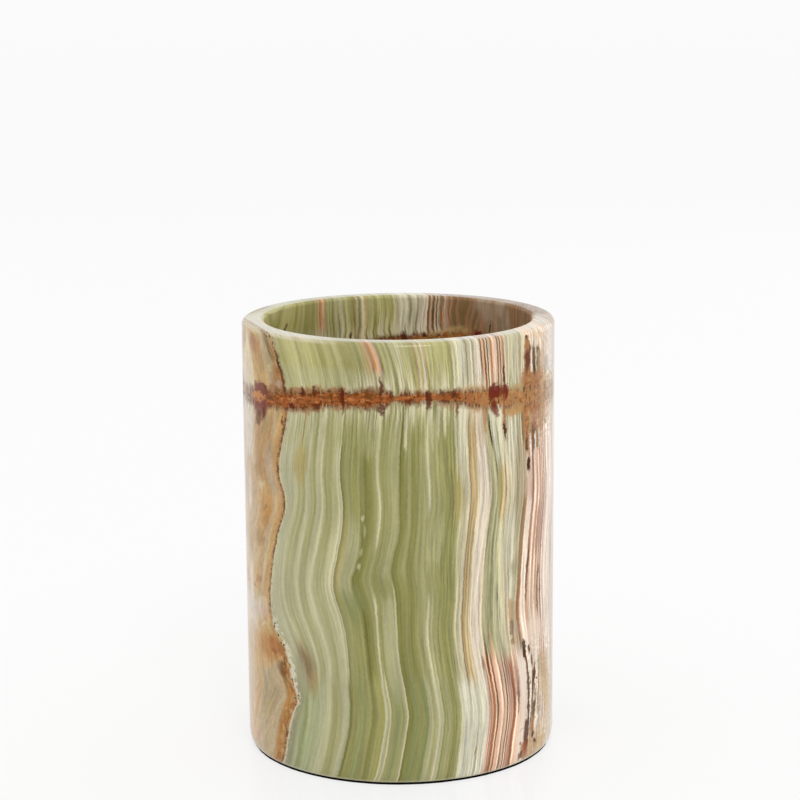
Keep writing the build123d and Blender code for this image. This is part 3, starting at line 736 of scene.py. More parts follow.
# onyx: growth layers cut by the turned wall, a rusty seam across them, stains and small voids
def makeOnyxGroup():
    settings = {
        "layerTurn": 18.6,      # degrees, of the layers about the cup's axis
        "lift": 0.45,           # mm, of the drawn lines above the desk
        "jag": 0.24,            # mm, how far layer edges feather
        "backDrift": 5.0,       # mm, how far the layers wander behind
        "backLean": 9.0,        # mm, how far they lean to the right behind
        "backShift": 9.0,       # mm, how far their waves are moved down behind
        "seamHalf": 0.9,        # mm
    }
    tree, given, out = newGroup("onyxStone", [("Place", "NodeSocketVector")],
                                [("Colour", "NodeSocketColor"), ("Rough", "NodeSocketFloat"),
                                 ("Gloss", "NodeSocketFloat")])
    radius = cup["radius"]
    turn = radians(settings["layerTurn"])
    spot = scaleVec(tree, given["Place"], 1 / mm)
    y = pick(tree, spot, 0, 1, 0)
    z = calc(tree, "SUBTRACT", pick(tree, spot, 0, 0, 1), settings["lift"])

    # behind the front wall the layers drift away from their drawn lines
    reach = ease(tree, y, -8.0, 26.0, 0.0, settings["backDrift"])
    drift = noise(tree, spot, 42.0, 2.0, 0.5, colour=True)
    across = calc(tree, "MULTIPLY_ADD", centred(tree, pick(tree, drift, 1, 0, 0), 1.6), reach,
                  pick(tree, spot, cos(turn), sin(turn), 0))
    across = calc(tree, "SUBTRACT", across, ease(tree, y, -2.0, 20.0, 0.0, settings["backLean"]))
    level = calc(tree, "MULTIPLY_ADD", centred(tree, pick(tree, drift, 0, 1, 0), 3.0), reach, z)

    # arc at which this layer meets the front wall
    share = calc(tree, "MINIMUM", calc(tree, "MAXIMUM", calc(tree, "DIVIDE", across, radius), -1.0), 1.0)
    arc = times(tree, plus(tree, calc(tree, "ARCSINE", share), turn), radius)
    feathery = noise(tree, vecCalc(tree, "MULTIPLY", spot, (0.35, 0.35, 1.0)), 1.1, 3.0, 0.65)
    arc = plus(tree, arc, centred(tree, feathery, settings["jag"]))

    # layer coordinate: straight between one growth line and the next
    shift = ease(tree, y, -11.0, 13.0, 0.0, settings["backShift"])
    bent = plus(tree, level, shift)
    labels = list(growthLines)
    high = drawnCurve(tree, bent, growthLines[labels[0]], heightSpan, arcSpan)
    layer = plus(tree, calc(tree, "MINIMUM", calc(tree, "SUBTRACT", arc, high), 0.0), labels[0])
    for left, right in zip(labels, labels[1:]):
        low = high
        high = drawnCurve(tree, bent, growthLines[right], heightSpan, arcSpan)
        part = calc(tree, "DIVIDE", calc(tree, "SUBTRACT", arc, low), calc(tree, "SUBTRACT", high, low),
                    clamp=True)
        layer = calc(tree, "MULTIPLY_ADD", part, right - left, layer)
    layer = plus(tree, layer, calc(tree, "MAXIMUM", calc(tree, "SUBTRACT", arc, high), 0.0))

    # height above the seam
    sway = centred(tree, noise(tree, vecCalc(tree, "MULTIPLY", spot, (1.0, 1.0, 0.0)), 4.0, 3.0, 0.6), 0.7)
    seam = plus(tree, drawnCurve(tree, layer, seamLine, layerSpan, (80, 100)), sway)
    above = calc(tree, "SUBTRACT", level, seam)

    # layer colours: the body of the stone, its foot, and the crown above the seam
    colour = bandRamp(tree, layer, bodyBands)
    teeth = noise(tree, joinVec(tree, layer, times(tree, y, 0.1), 0.0), 0.7, 2.0, 0.6)
    footLevel = plus(tree, drawnCurve(tree, layer, footLine, layerSpan, (0, 60)), centred(tree, teeth, 5.0))
    below = calc(tree, "SUBTRACT", footLevel, level)
    colour = paint(tree, ease(tree, below, -2.5, 2.5), colour, bandRamp(tree, layer, footBands))
    colour = paint(tree, ease(tree, above, -0.4, 0.4), colour, bandRamp(tree, layer, crownBands))

    # marks in the green stone, with straight sides
    drawn = joinVec(tree, layer, level, times(tree, y, 0.3))
    wanderX = centred(tree, noise(tree, drawn, 2.2, 3.0, 0.65), 1.0)
    ends = plus(tree, level, centred(tree, teeth, 3.0))
    straight = joinVec(tree, calc(tree, "MULTIPLY_ADD", wanderX, 0.18, layer), ends, 0.0)
    colour = layMarks(tree, straight, colour, greenMarks)

    # fine growth stripes, sharper towards the seam and in the pale stone, a chalky rim at the left, and a
    # comb of crystals next to the seam
    inGreen = ease(tree, layer, -30.5, -29.5)
    stripes = noise(tree, joinVec(tree, layer, times(tree, y, 0.05), times(tree, level, 0.03)),
                    0.62, 3.0, 0.7)
    cloud = noise(tree, vecCalc(tree, "MULTIPLY", spot, (1.0, 1.0, 0.5)), 9.0, 3.0, 0.55)
    specks = noise(tree, vecCalc(tree, "MULTIPLY", spot, (1.0, 1.0, 0.7)), 0.8, 3.0, 0.7)
    fromSeam = calc(tree, "ABSOLUTE", above)
    crisp = calc(tree, "MAXIMUM", ease(tree, fromSeam, 18.0, 4.0), ease(tree, layer, 2.0, 15.0, 0.0, 0.9))
    crisp = plus(tree, crisp, ease(tree, layer, 21.0, 23.0, 0.0, 0.4))
    crisp = times(tree, calc(tree, "MULTIPLY_ADD", crisp, 0.75, 0.55), inGreen)
    inCrown = ease(tree, above, -0.4, 0.4)
    calm = times(tree, inCrown, ease(tree, layer, -5.0, -9.0, 0.0, -0.5))
    crisp = calc(tree, "MULTIPLY_ADD", calm, crisp, crisp)
    light = calc(tree, "MULTIPLY_ADD", centred(tree, stripes, 1.0), crisp, 1.0)
    light = plus(tree, light, centred(tree, cloud, 0.14))
    light = plus(tree, light, centred(tree, specks, 0.14))
    dim = drawnCurve(tree, layer, crownDim, layerSpan, (-0.3, 0.3))
    light = calc(tree, "MULTIPLY_ADD", dim, inCrown, light)
    colour = shade(tree, colour, light)
    colour = paint(tree, ease(tree, level, 98.0, 106.0, 0.0, 0.18), colour, tones["cream"])
    onRim = times(tree, ease(tree, level, 104.7, 105.5), ease(tree, layer, -10.0, -20.0))
    colour = paint(tree, times(tree, onRim, 0.75), colour, tones["chalk"])
    colour = paint(tree, times(tree, onRim, ease(tree, stripes, 0.47, 0.4, 0.0, 0.8)), colour, tones["taupe"])
    comb = noise(tree, joinVec(tree, layer, times(tree, y, 0.1), times(tree, level, 0.03)),
                 0.5, 2.0, 0.6)
    hang = calc(tree, "MULTIPLY_ADD", teeth, 24.0, -2.5)
    near = times(tree, ease(tree, fromSeam, hang, 1.0), inGreen)
    near = times(tree, near, ease(tree, layer, -16.0, -6.0, 0.4, 1.0))
    colour = paint(tree, times(tree, near, ease(tree, comb, 0.46, 0.58, 0.15, 0.8)), colour, tones["milk"])
    colour = paint(tree, times(tree, near, ease(tree, comb, 0.45, 0.37, 0.0, 0.8)), colour,
                   tones["oliveDeep"])

    # the stains' own place wanders, so their outlines are ragged
    wanderY = noise(tree, joinVec(tree, level, layer, times(tree, y, 0.3)), 2.2, 3.0, 0.65)
    wanderY = plus(tree, level, centred(tree, wanderY, 1.8))
    fibres = noise(tree, vecCalc(tree, "MULTIPLY", spot, (0.35, 0.35, 1.0)), 0.7, 3.0, 0.65)
    raggedX = plus(tree, calc(tree, "MULTIPLY_ADD", wanderX, 0.5, layer), centred(tree, specks, 0.6))
    raggedX = calc(tree, "MULTIPLY_ADD", shift, -0.9, raggedX)
    place = joinVec(tree, raggedX, plus(tree, wanderY, centred(tree, fibres, 0.9)), 0.0)

    # brown stone on the left: streaks that rise to the right, and a mottled crust along its edge
    leftPlace = vecCalc(tree, "ADD", place, joinVec(tree, 0.0, shift, 0.0))
    leftColour = layMarks(tree, leftPlace, colour, leftMarks)
    rising = joinVec(tree, calc(tree, "MULTIPLY_ADD", level, -0.16, layer), times(tree, level, 0.22),
                     times(tree, shift, 2.0))
    streaks = noise(tree, rising, 1.5, 4.0, 0.65)
    gritty = plus(tree, ease(tree, level, 20.0, 8.0, 1.0, 1.06), centred(tree, specks, 0.22))
    leftColour = shade(tree, leftColour, plus(tree, gritty, centred(tree, streaks, 0.55)))
    leftColour = paint(tree, 0.5, leftColour, tones["warmth"], "MULTIPLY")
    lumps = noise(tree, joinVec(tree, layer, times(tree, level, 0.55), times(tree, y, 0.3)),
                  1.3, 3.0, 0.62)
    golden = calc(tree, "MAXIMUM", ease(tree, level, 22.0, 12.0),
                  times(tree, ease(tree, level, 34.0, 44.0), ease(tree, level, 68.0, 60.0)))
    crustTone = paint(tree, golden, tones["root"], tones["gold"])
    crustTone = paint(tree, ease(tree, lumps, 0.36, 0.46), crustTone, tones["saddle"])
    crustTone = paint(tree, ease(tree, lumps, 0.47, 0.62, 0.0, 0.7), crustTone, tones["tan"])
    crustTone = paint(tree, ease(tree, specks, 0.44, 0.36, 0.0, 0.7), crustTone, tones["root"])
    inCrust = plus(tree, layer, plus(tree, centred(tree, lumps, 2.4),
                                     ease(tree, level, 24.0, 14.0, 0.0, 0.8)))
    narrow = times(tree, ease(tree, level, 30.0, 38.0), ease(tree, level, 95.0, 88.0))
    inCrust = calc(tree, "MULTIPLY_ADD", narrow, -0.7, inCrust)
    crust = times(tree, ease(tree, inCrust, -32.4, -31.4),
                  drawnCurve(tree, level, crustLine, heightSpan, (0, 1)))
    leftColour = paint(tree, crust, leftColour, crustTone)
    colour = paint(tree, ease(tree, layer, -29.7, -30.2), colour, leftColour)
    grain = plus(tree, centred(tree, specks, 0.6), centred(tree, fibres, 0.8))
    grainy = times(tree, ease(tree, level, 76.0, 80.0), ease(tree, level, 99.0, 94.0))
    grainy = calc(tree, "MAXIMUM", grainy, ease(tree, level, 32.0, 28.0, 0.12, 0.6))
    grainy = times(tree, grainy, ease(tree, y, -12.0, -2.0, 1.0, 0.3))
    falling = joinVec(tree, calc(tree, "MULTIPLY_ADD", level, 0.4, layer), times(tree, level, 0.2), 0.0)
    leaning = noise(tree, falling, 0.9, 3.0, 0.7)
    paleCrown = times(tree, ease(tree, level, 94.0, 98.0), ease(tree, layer, 34.5, 36.5))
    mottle = times(tree, times(tree, grain, grainy), ease(tree, layer, 33.5, 35.5))
    orangey = times(tree, paleCrown, ease(tree, leaning, 0.52, 0.6, 0.0, 0.75))
    colour = paint(tree, orangey, colour, tones["apricot"])
    lined = times(tree, paleCrown, ease(tree, leaning, 0.4, 0.34, 0.0, 0.6))
    colour = paint(tree, lined, colour, tones["rosewood"])
    colour = layMarks(tree, place, colour, rightMarks)
    colour = shade(tree, colour, plus(tree, 1.0, mottle))

    # darker brown stone behind on the right
    east = times(tree, ease(tree, y, -1.5, 5.0), ease(tree, pick(tree, spot, 1, 0.25, 0), 17.0, 22.0))
    eastTone = paint(tree, ease(tree, stripes, 0.4, 0.6), tones["umberDeep"], tones["clay"])
    eastTone = paint(tree, ease(tree, cloud, 0.45, 0.65, 0.0, 0.6), eastTone, tones["ash"])
    colour = paint(tree, east, colour, eastTone)

    # crystal fringe and pits along the edge of the brown stone
    inFringe = times(tree, ease(tree, level, 15.0, 19.0), ease(tree, level, 38.0, 35.0))
    fringe = times(tree, ease(tree, layer, -30.9, -30.1), ease(tree, layer, -28.5, -29.2))
    fringe = times(tree, fringe, calc(tree, "MULTIPLY_ADD", inFringe, 0.75, 0.15))
    cells = tree.nodes.new("ShaderNodeTexVoronoi")
    feed(tree, cells.inputs["Vector"], spot)
    cells.inputs["Scale"].default_value = 1 / 0.7
    cellTone = pick(tree, cells.outputs["Color"], 1, 0, 0)
    colour = paint(tree, times(tree, fringe, calc(tree, "GREATER_THAN", cellTone, 0.5)), colour,
                   tones["chalk"])
    dots = times(tree, ease(tree, cells.outputs["Distance"], 0.46, 0.34),
                 calc(tree, "LESS_THAN", cellTone, 0.38))
    edgeBand = times(tree, ease(tree, layer, -31.2, -30.7), ease(tree, layer, -29.3, -29.9))
    line = times(tree, ease(tree, layer, -30.75, -30.4), ease(tree, layer, -29.85, -30.1))
    line = times(tree, line, calc(tree, "MAXIMUM", ease(tree, level, 34.0, 40.0, 0.3, 1.0),
                                  ease(tree, level, 14.0, 9.0)))
    colour = paint(tree, times(tree, line, ease(tree, specks, 0.58, 0.46, 0.1, 0.85)), colour, tones["root"])
    pits = times(tree, dots, times(tree, edgeBand, calc(tree, "MULTIPLY_ADD", inFringe, 0.45, 0.55)))
    colour = paint(tree, pits, colour, tones["pit"])

    # the seam: rusty fibres between stained borders, with dark specks that spike along the layers
    colour = layMarks(tree, place, colour, seamStains)
    rightward = ease(tree, layer, 12.0, 24.0)
    swell = noise(tree, vecCalc(tree, "MULTIPLY", spot, (1.0, 1.0, 0.0)), 2.6, 3.0, 0.65)
    half = calc(tree, "MULTIPLY_ADD", rightward, 0.7,
                ease(tree, layer, -3.0, -9.0, settings["seamHalf"], 1.5))
    half = plus(tree, half, centred(tree, swell, 0.9))
    off = plus(tree, calc(tree, "ABSOLUTE", above), centred(tree, specks, 1.1))
    haze = times(tree, ease(tree, off, plus(tree, half, 1.9), half), ease(tree, swell, 0.35, 0.6, 0.25, 0.75))
    colour = paint(tree, haze, colour,
                   paint(tree, ease(tree, specks, 0.4, 0.6), tones["bark"], tones["fawn"]))
    spikes = plus(tree, times(tree, specks, 0.7), times(tree, comb, 0.6))
    border = times(tree, ease(tree, off, plus(tree, half, 1.5), plus(tree, half, 0.2)),
                   ease(tree, spikes, 0.63, 0.72, 0.0, 0.92))
    border = times(tree, border, ease(tree, layer, 36.0, 28.0))
    colour = paint(tree, border, colour, tones["wine"])
    rustColour = paint(tree, ease(tree, fibres, 0.38, 0.5), tones["bark"], tones["rust"])
    rustColour = paint(tree, times(tree, rightward, 0.55), rustColour, tones["ochre"])
    rustColour = paint(tree, ease(tree, fibres, 0.56, 0.66, 0.0, 0.65), rustColour, tones["orange"])
    flecks = times(tree, rightward, ease(tree, comb, 0.54, 0.64, 0.0, 0.6))
    rustColour = paint(tree, flecks, rustColour, tones["tan"])
    rustColour = paint(tree, ease(tree, specks, 0.44, 0.36, 0.0, 0.85), rustColour, tones["wine"])
    core = ease(tree, off, plus(tree, half, 0.35), calc(tree, "SUBTRACT", half, 0.45))
    core = times(tree, core, ease(tree, layer, 46.0, 34.0, 0.15, 0.94))
    core = times(tree, core, ease(tree, layer, -46.0, -43.0, 0.1, 1.0))
    colour = paint(tree, core, colour, rustColour)
    colour = layMarks(tree, place, colour, seamMarks)

    tree.links.new(colour, out["Colour"])
    bright = tree.nodes.new("ShaderNodeRGBToBW")
    feed(tree, bright.inputs[0], colour)
    polish = times(tree, ease(tree, layer, -31.0, -29.5, 0.4, 1.0), ease(tree, layer, 32.0, 36.0, 1.0, 0.5))
    tree.links.new(times(tree, ease(tree, bright.outputs[0], 0.05, 0.2), polish), out["Gloss"])
    tree.links.new(calc(tree, "MAXIMUM", times(tree, core, 0.5), pits), out["Rough"])
    return tree


onyxStone = makeOnyxGroup()
print("stone groups:", len(onyxStone.nodes), "nodes")


def newMaterial(name, **fixed):  # a principled material with its plain values set
    material = bpy.data.materials.new(name)
    material.use_nodes = True
    shader = material.node_tree.nodes["Principled BSDF"]
    for label, value in fixed.items():
        shader.inputs[label].default_value = value
    return material, material.node_tree, shader


def objectPlace(tree):
    return tree.nodes.new("ShaderNodeTexCoord").outputs["Object"]


def makePolishedOnyx():  # polished outside except in dark, porous stone, ground satin in the well
    finish = {"polished": 0.16, "ground": 0.5, "rusty": 0.35, "gloss": 0.8, "toeHighlight": 0.5}
    wellEdge = [(cup["bore"] + past) * mm for past in (0.4, 1.2)]
    toeHighlightEdge = [height * mm for height in (1.35, 0.85)]
    material, tree, shader = newMaterial("polishedOnyx", **{
        "IOR": 1.49, "Specular IOR Level": 0.1, "Coat Roughness": finish["polished"], "Coat IOR": 1.5})
    place = objectPlace(tree)
    stone = useGroup(tree, onyxStone, Place=place)
    # painted highlight: the lowest mm of the foot is painted half-way to cream, standing in for the polished
    # foot edge catching light from the floor
    toeHighlight = ease(tree, pick(tree, place, 0, 0, 1), *toeHighlightEdge, 0.0, finish["toeHighlight"])
    tree.links.new(paint(tree, toeHighlight, stone["Colour"], tones["cream"]), shader.inputs["Base Color"])
    flat = tree.nodes.new("ShaderNodeVectorMath")
    flat.operation = "LENGTH"
    feed(tree, flat.inputs[0], vecCalc(tree, "MULTIPLY", place, (1, 1, 0)))
    out = flat.outputs["Value"]
    shine = ease(tree, out, *wellEdge, finish["ground"], finish["polished"])
    rough = calc(tree, "MULTIPLY_ADD", stone["Rough"], finish["rusty"], shine)
    tree.links.new(rough, shader.inputs["Roughness"])
    outside = ease(tree, out, *wellEdge, 0.1 * finish["gloss"], finish["gloss"])
    tree.links.new(times(tree, outside, stone["Gloss"]), shader.inputs["Coat Weight"])
    return material


def makeGroundOnyx():
    material, tree, shader = newMaterial("groundOnyx", IOR=1.49)
    place = objectPlace(tree)
    stone = useGroup(tree, onyxStone, Place=place)
    tree.links.new(stone["Colour"], shader.inputs["Base Color"])
    rings = noise(tree, scaleVec(tree, place, 1 / mm), 0.6, 3.0, 0.7)
    tree.links.new(ease(tree, rings, 0.3, 0.7, 0.45, 0.65), shader.inputs["Roughness"])
    bump = tree.nodes.new("ShaderNodeBump")
    bump.inputs["Strength"].default_value = 0.25
    bump.inputs["Distance"].default_value = 0.0001
    tree.links.new(rings, bump.inputs["Height"])
    tree.links.new(bump.outputs[0], shader.inputs["Normal"])
    return material


polishedOnyx = makePolishedOnyx()
groundOnyx = makeGroundOnyx()


def putMesh(name, points, faces, material):
    mesh = bpy.data.meshes.new(name)
    mesh.from_pydata(points.tolist(), [], faces)
    mesh.polygons.foreach_set("use_smooth", np.ones(len(mesh.polygons), bool))
    mesh.set_sharp_from_angle(angle=radians(50))
    mesh.materials.append(material)
    piece = bpy.data.objects.new(name, mesh)
    bpy.context.scene.collection.objects.link(piece)
    return piece


def gridFaces(rows, columns):  # quads of a grid that closes on itself both ways
    row, column = np.meshgrid(np.arange(rows), np.arange(columns), indexing="ij")
    nextRow = (row + 1) % rows
    nextColumn = (column + 1) % columns
    corners = (row * columns + column, row * columns + nextColumn,
               nextRow * columns + nextColumn, nextRow * columns + column)
    return np.stack([corner.ravel() for corner in corners], 1)


def arcPoints(centre, wide, tall, start, end, count):  # points on an elliptic arc, in the profile's plane
    angle = np.radians(np.linspace(start, end, count))
    return np.stack([centre[0] + wide * np.cos(angle), centre[1] + tall * np.sin(angle)], 1)


# sleeve: a closed profile turned about the axis, with small voids pressed into the wall
def makeSleeve():
    settings = {
        "columns": 420,
        "wallRows": 150,
        "boreRows": 36,
        "rimRound": 1.3,
        "footRows": 11,
        "rimPoints": 10,
        "innerPoints": 8,
        "footWide": 0.8,
        "footTall": 3.0,
        "skin": 0.01,           # mm, depth of wall that the voids take
        "uvMargin": 0.004,      # shares of the unwrapped square
        "uvWidth": 0.992,
        "uvBase": 0.002,
        "uvGap": 0.0036,
        # arc, height, half width, half height, depth of each void in mm
        "voids": [(35.7, 74.0, 0.7, 2.2, 0.5), (34.2, 28.6, 0.7, 2.7, 0.5), (38.3, 20.3, 0.7, 3.2, 0.45),
                  (38.4, 12.0, 0.8, 2.2, 0.45), (38.6, 4.0, 0.7, 1.5, 0.4), (-28.9, 25.2, 0.6, 0.7, 0.3),
                  (-29.2, 23.0, 0.6, 0.6, 0.3), (-28.3, 21.2, 0.6, 0.6, 0.3)],
    }
    radius, bore, rebate = cup["radius"], cup["bore"], cup["rebate"]
    top, foot, shoulder = cup["top"], cup["foot"], cup["shoulder"]
    rim, inner = settings["rimRound"], cup["innerRound"]
    footWide, footTall = settings["footWide"], settings["footTall"]
    wall = np.stack([np.full(settings["wallRows"], radius),
                     np.linspace(foot + footTall, top - rim, settings["wallRows"])], 1)
    boreWall = np.stack([np.full(settings["boreRows"], bore),
                         np.linspace(top - inner, shoulder, settings["boreRows"])], 1)
    profile = np.concatenate([
        arcPoints((radius - footWide, foot + footTall), footWide, footTall, -90, 0,
                  settings["footRows"] + 1)[:-1],
        wall,
        arcPoints((radius - rim, top - rim), rim, rim, 0, 90, settings["rimPoints"])[1:],
        arcPoints((bore + inner, top - inner), inner, inner, 90, 180, settings["innerPoints"])[:-1],
        boreWall,
        [(rebate, shoulder), (rebate, foot)],
    ])
    turn = np.linspace(-pi, pi, settings["columns"], endpoint=False)
    out, turned = np.meshgrid(profile[:, 0], turn, indexing="ij")
    height = np.broadcast_to(profile[:, 1:], out.shape)
    arc = turned * radius
    sunk = np.zeros_like(out)
    for place, level, wide, tall, depth in settings["voids"]:
        far = np.hypot((arc - place) / wide, (height - level) / tall)
        sunk = np.maximum(sunk, depth * np.clip(1 - far ** 2, 0, 1) ** 0.7)
    out = out - np.where(out > radius - settings["skin"], sunk, 0)
    points = np.stack([out * np.sin(turned), -out * np.cos(turned), height], -1).reshape(-1, 3) * mm
    piece = putMesh("onyxSleeve", points, gridFaces(*out.shape).tolist(), polishedOnyx)

    # unwrap: each run of the profile is a front strip and a back strip, one above the other
    rows, columns = out.shape
    wallEnd = settings["footRows"] - 1 + settings["wallRows"]
    rimEnd = wallEnd + settings["rimPoints"] + settings["innerPoints"] - 1
    boreEnd = rimEnd + settings["boreRows"] - 1
    runs = [(0, wallEnd, 0.29), (wallEnd, rimEnd, 0.035), (rimEnd, boreEnd, 0.12), (boreEnd, rows, 0.04)]
    step = np.hypot(*(np.roll(profile, -1, 0) - profile).T)
    low = np.zeros((rows, 2))
    high = np.zeros((rows, 2))
    base = settings["uvBase"]
    for start, end, tall in runs:
        along = np.concatenate([[0], np.cumsum(step[start:end])])
        along = along / along[-1] * tall
        for side in (0, 1):
            low[start:end, side] = base + along[:-1]
            high[start:end, side] = base + along[1:]
            base += tall + settings["uvGap"]
    quarter, half = columns // 4, columns // 2
    column = np.arange(columns)
    behind = ((column < quarter) | (column >= 3 * quarter)).astype(int)
    left = settings["uvMargin"] + settings["uvWidth"] * ((column - quarter) % half) / half
    right = left + settings["uvWidth"] / half
    bottom, top = low[:, behind], high[:, behind]
    left, right = np.broadcast_to(left, bottom.shape), np.broadcast_to(right, bottom.shape)
    corners = [(left, bottom), (right, bottom), (right, top), (left, top)]
    spread = np.stack([np.stack(corner, -1) for corner in corners], 2)
    piece.data.uv_layers.new(name="OFBake").data.foreach_set("uv", spread.ravel())
    return piece


sleeve = makeSleeve()
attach(sleeve, "root")
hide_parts("onyx_sleeve")
print("sleeve:", len(sleeve.data.polygons), "faces")


def dress(node, material):
    piece = frame["nodes"][node]
    piece.data.materials.clear()
    piece.data.materials.append(material)


# resin: a clear honey tint, cloudy in places, with a soft shine
def makeResin():
    material, tree, shader = newMaterial("honeyResin", IOR=1.5)
    spot = scaleVec(tree, objectPlace(tree), 1 / mm)
    cloudy = noise(tree, spot, 3.0, 3.0, 0.6)
    tint = paint(tree, ease(tree, cloudy, 0.3, 0.7), tones["honey"], tones["wheat"])
    tree.links.new(tint, shader.inputs["Base Color"])
    dull = noise(tree, spot, 0.7, 2.0, 0.6)
    tree.links.new(ease(tree, dull, 0.3, 0.7, 0.18, 0.34), shader.inputs["Roughness"])
    return material


# film: dark and matt, with the dull flecks of trapped air
def makeFilm():
    material, tree, shader = newMaterial("darkFilm", IOR=1.47)
    spot = scaleVec(tree, objectPlace(tree), 1 / mm)
    flecks = noise(tree, spot, 1.4, 3.0, 0.65)
    tint = paint(tree, ease(tree, flecks, 0.4, 0.65), tone(18, 18, 18), tone(36, 35, 34))
    tree.links.new(tint, shader.inputs["Base Color"])
    tree.links.new(ease(tree, flecks, 0.35, 0.7, 0.45, 0.7), shader.inputs["Roughness"])
    return material


# felt: short dark fibres pressed flat, with a matted, slightly fluffy face
def makeFelt():
    finish = {"gleam": 0.04, "sheen": 0.04, "fibre": 0.45, "lift": 0.06}
    material, tree, shader = newMaterial("darkFelt", IOR=1.4)
    shader.inputs["Specular IOR Level"].default_value = finish["gleam"]
    shader.inputs["Sheen Weight"].default_value = finish["sheen"]
    spot = scaleVec(tree, objectPlace(tree), 1 / mm)
    fibres = noise(tree, vecCalc(tree, "MULTIPLY", spot, (1.0, 0.35, 1.0)), finish["fibre"], 4.0, 0.75)
    crossed = noise(tree, vecCalc(tree, "MULTIPLY", spot, (0.35, 1.0, 1.0)), finish["fibre"], 4.0, 0.75)
    mat = calc(tree, "MAXIMUM", fibres, crossed)
    tint = paint(tree, ease(tree, mat, 0.45, 0.8), tone(14, 14, 15), tone(32, 31, 30))
    tree.links.new(tint, shader.inputs["Base Color"])
    tree.links.new(ease(tree, mat, 0.4, 0.8, 0.98, 0.85), shader.inputs["Roughness"])
    bump = tree.nodes.new("ShaderNodeBump")
    bump.inputs["Strength"].default_value = 0.5
    bump.inputs["Distance"].default_value = finish["lift"] * mm
    tree.links.new(mat, bump.inputs["Height"])
    tree.links.new(bump.outputs[0], shader.inputs["Normal"])
    return material


darkFelt = makeFelt()
dress("floor_disc", groundOnyx)
dress("floor_bond", makeResin())
dress("pad_adhesive", makeFilm())


# pad: a die-cut disc whose profile runs from the middle of its face over the edge to the middle of its back,
# with the edge and face a little uneven by a few sine waves round the disc
def makePad():
    settings = {"columns": 360, "faceRows": 26, "edgeRows": 9, "ragged": 0.08, "uneven": 0.03}
    radius, top = padBox[1][0] - settings["ragged"], padBox[1][2]
    reach = np.linspace(0.02, 1, settings["faceRows"]) ** 0.7
    swing = np.linspace(-pi / 2, pi / 2, settings["edgeRows"])[1:-1]
    out = np.concatenate([reach, 1 - (1 - np.cos(swing)) * 0.002, reach[::-1]]) * radius
    level = np.concatenate([np.zeros(len(reach)), (np.sin(swing) + 1) / 2, np.ones(len(reach))]) * top
    turn = np.linspace(0, 2 * pi, settings["columns"], endpoint=False)
    waves = ((7, 0.4), (19, 2.1), (43, 1.2), (97, 4.0))
    wave = sum(np.sin(turn * beats + phase) / len(waves) for beats, phase in waves)
    far, around = np.meshgrid(out, turn, indexing="ij")
    height = np.broadcast_to(level[:, None], far.shape)
    far = far + settings["ragged"] * wave * (far / radius) ** 8
    dimple = np.sin(around * 23 + far * 1.7) * np.sin(around * 5 - far * 0.9)
    height = height + np.where(height < 0.01, settings["uneven"] * (1 + dimple) / 2, 0) * (far < radius - 1)
    ring = np.stack([far * np.cos(around), far * np.sin(around), height], -1).reshape(-1, 3)
    points = np.concatenate([ring, [(0, 0, 0)], [(0, 0, top)]]) * mm
    rows, columns = far.shape
    column = np.arange(columns)
    after = (column + 1) % columns
    last = (rows - 1) * columns
    walls = gridFaces(rows, columns)[:last]
    front = np.stack([after, column, np.full(columns, len(ring))], 1)
    back = np.stack([last + column, last + after, np.full(columns, len(ring) + 1)], 1)
    return putMesh("feltPad", points, walls.tolist() + front.tolist() + back.tolist(), darkFelt)


pad = makePad()
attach(pad, "root")
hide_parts("base_pad")
print("pad:", len(pad.data.polygons), "faces")


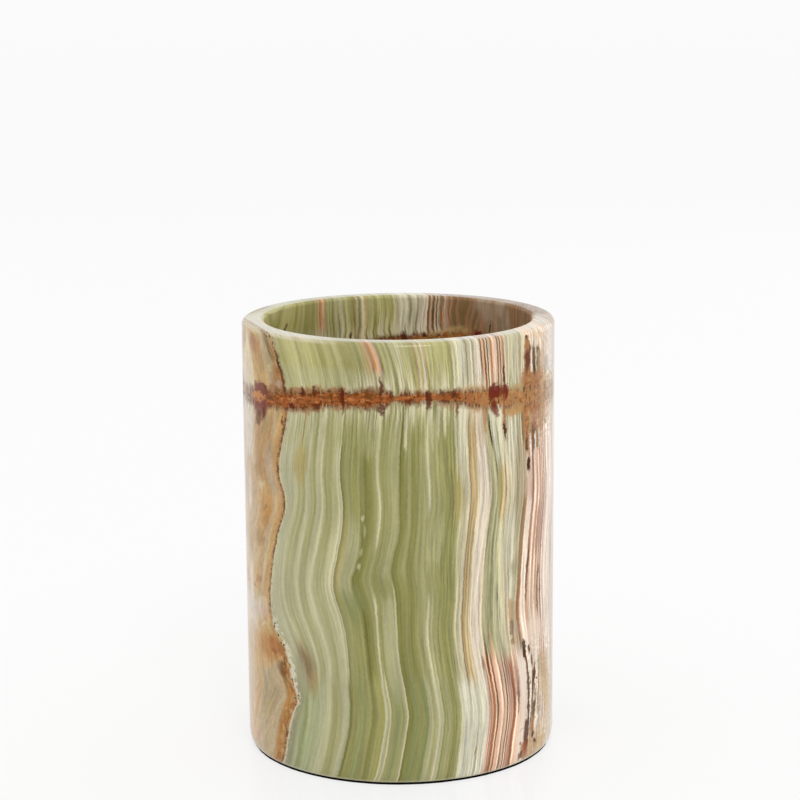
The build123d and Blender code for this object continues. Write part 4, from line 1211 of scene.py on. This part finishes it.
# floor and light
def makeStage():
    settings = {
        "floorHalf": 12.0,
        "floorGlow": 0.7,       # share of plain white that the camera sees on the floor
        "worldLevel": 0.88,
        "aim": (0, 0, 0.05),    # middle of the cup
        # place, size and watts of each soft lamp
        "lamps": [((0.25, -1.1, 1.2), 0.6, 5.6), ((0.8, 0.65, 0.35), 0.8, 1.6),
                  ((-0.8, 0.65, 0.35), 0.8, 0.8)],
    }
    floorMesh = bpy.data.meshes.new("studioFloor")
    wide = settings["floorHalf"]
    corners = [(-wide, -wide, 0), (wide, -wide, 0), (wide, wide, 0), (-wide, wide, 0)]
    floorMesh.from_pydata(corners, [], [(0, 1, 2, 3)])
    floor = bpy.data.objects.new("studioFloor", floorMesh)
    bpy.context.scene.collection.objects.link(floor)
    material, tree, shader = newMaterial("paleFloor", Roughness=0.14, IOR=1.6)
    shader.inputs["Base Color"].default_value = (0.88, 0.88, 0.88, 1)
    glow = tree.nodes.new("ShaderNodeEmission")
    path = tree.nodes.new("ShaderNodeLightPath")
    seen = calc(tree, "MAXIMUM", path.outputs["Is Camera Ray"], path.outputs["Is Glossy Ray"])
    seen = calc(tree, "MAXIMUM", seen, path.outputs["Is Transmission Ray"])
    mix = tree.nodes.new("ShaderNodeMixShader")
    tree.links.new(times(tree, seen, settings["floorGlow"]), mix.inputs[0])
    tree.links.new(shader.outputs[0], mix.inputs[1])
    tree.links.new(glow.outputs[0], mix.inputs[2])
    tree.links.new(mix.outputs[0], tree.nodes["Material Output"].inputs[0])
    floorMesh.materials.append(material)

    world = bpy.data.worlds.new("studioWorld")
    bpy.context.scene.world = world
    world.use_nodes = True
    world.node_tree.nodes["Background"].inputs["Color"].default_value = (1, 1, 1, 1)
    world.node_tree.nodes["Background"].inputs["Strength"].default_value = settings["worldLevel"]
    for index, (place, size, watts) in enumerate(settings["lamps"]):
        data = bpy.data.lights.new(f"softLamp{index}", "AREA")
        data.size = size
        data.energy = watts
        lamp = bpy.data.objects.new(f"softLamp{index}", data)
        lamp.location = place
        lamp.rotation_euler = (Vector(place) - Vector(settings["aim"])).to_track_quat("Z", "Y").to_euler()
        bpy.context.scene.collection.objects.link(lamp)


def makeCamera():
    settings = {"place": (0, -567.2, 200.05), "down": 11.43, "roll": -0.409, "yaw": -0.033, "lens": 106.33}
    camera = bpy.data.objects.new("camera", bpy.data.cameras.new("camera"))
    bpy.context.scene.collection.objects.link(camera)
    camera.data.lens = settings["lens"]
    camera.data.sensor_width = 36
    camera.data.clip_start = 0.01
    camera.data.clip_end = 100
    aim = Matrix.Rotation(radians(settings["yaw"]), 4, "Z")
    aim = aim @ Matrix.Rotation(radians(90 - settings["down"]), 4, "X")
    aim = aim @ Matrix.Rotation(radians(settings["roll"]), 4, "Z")
    camera.matrix_world = Matrix.Translation([value * mm for value in settings["place"]]) @ aim
    bpy.context.scene.camera = camera


makeStage()
makeCamera()
bpy.context.scene.view_settings.view_transform = "Standard"
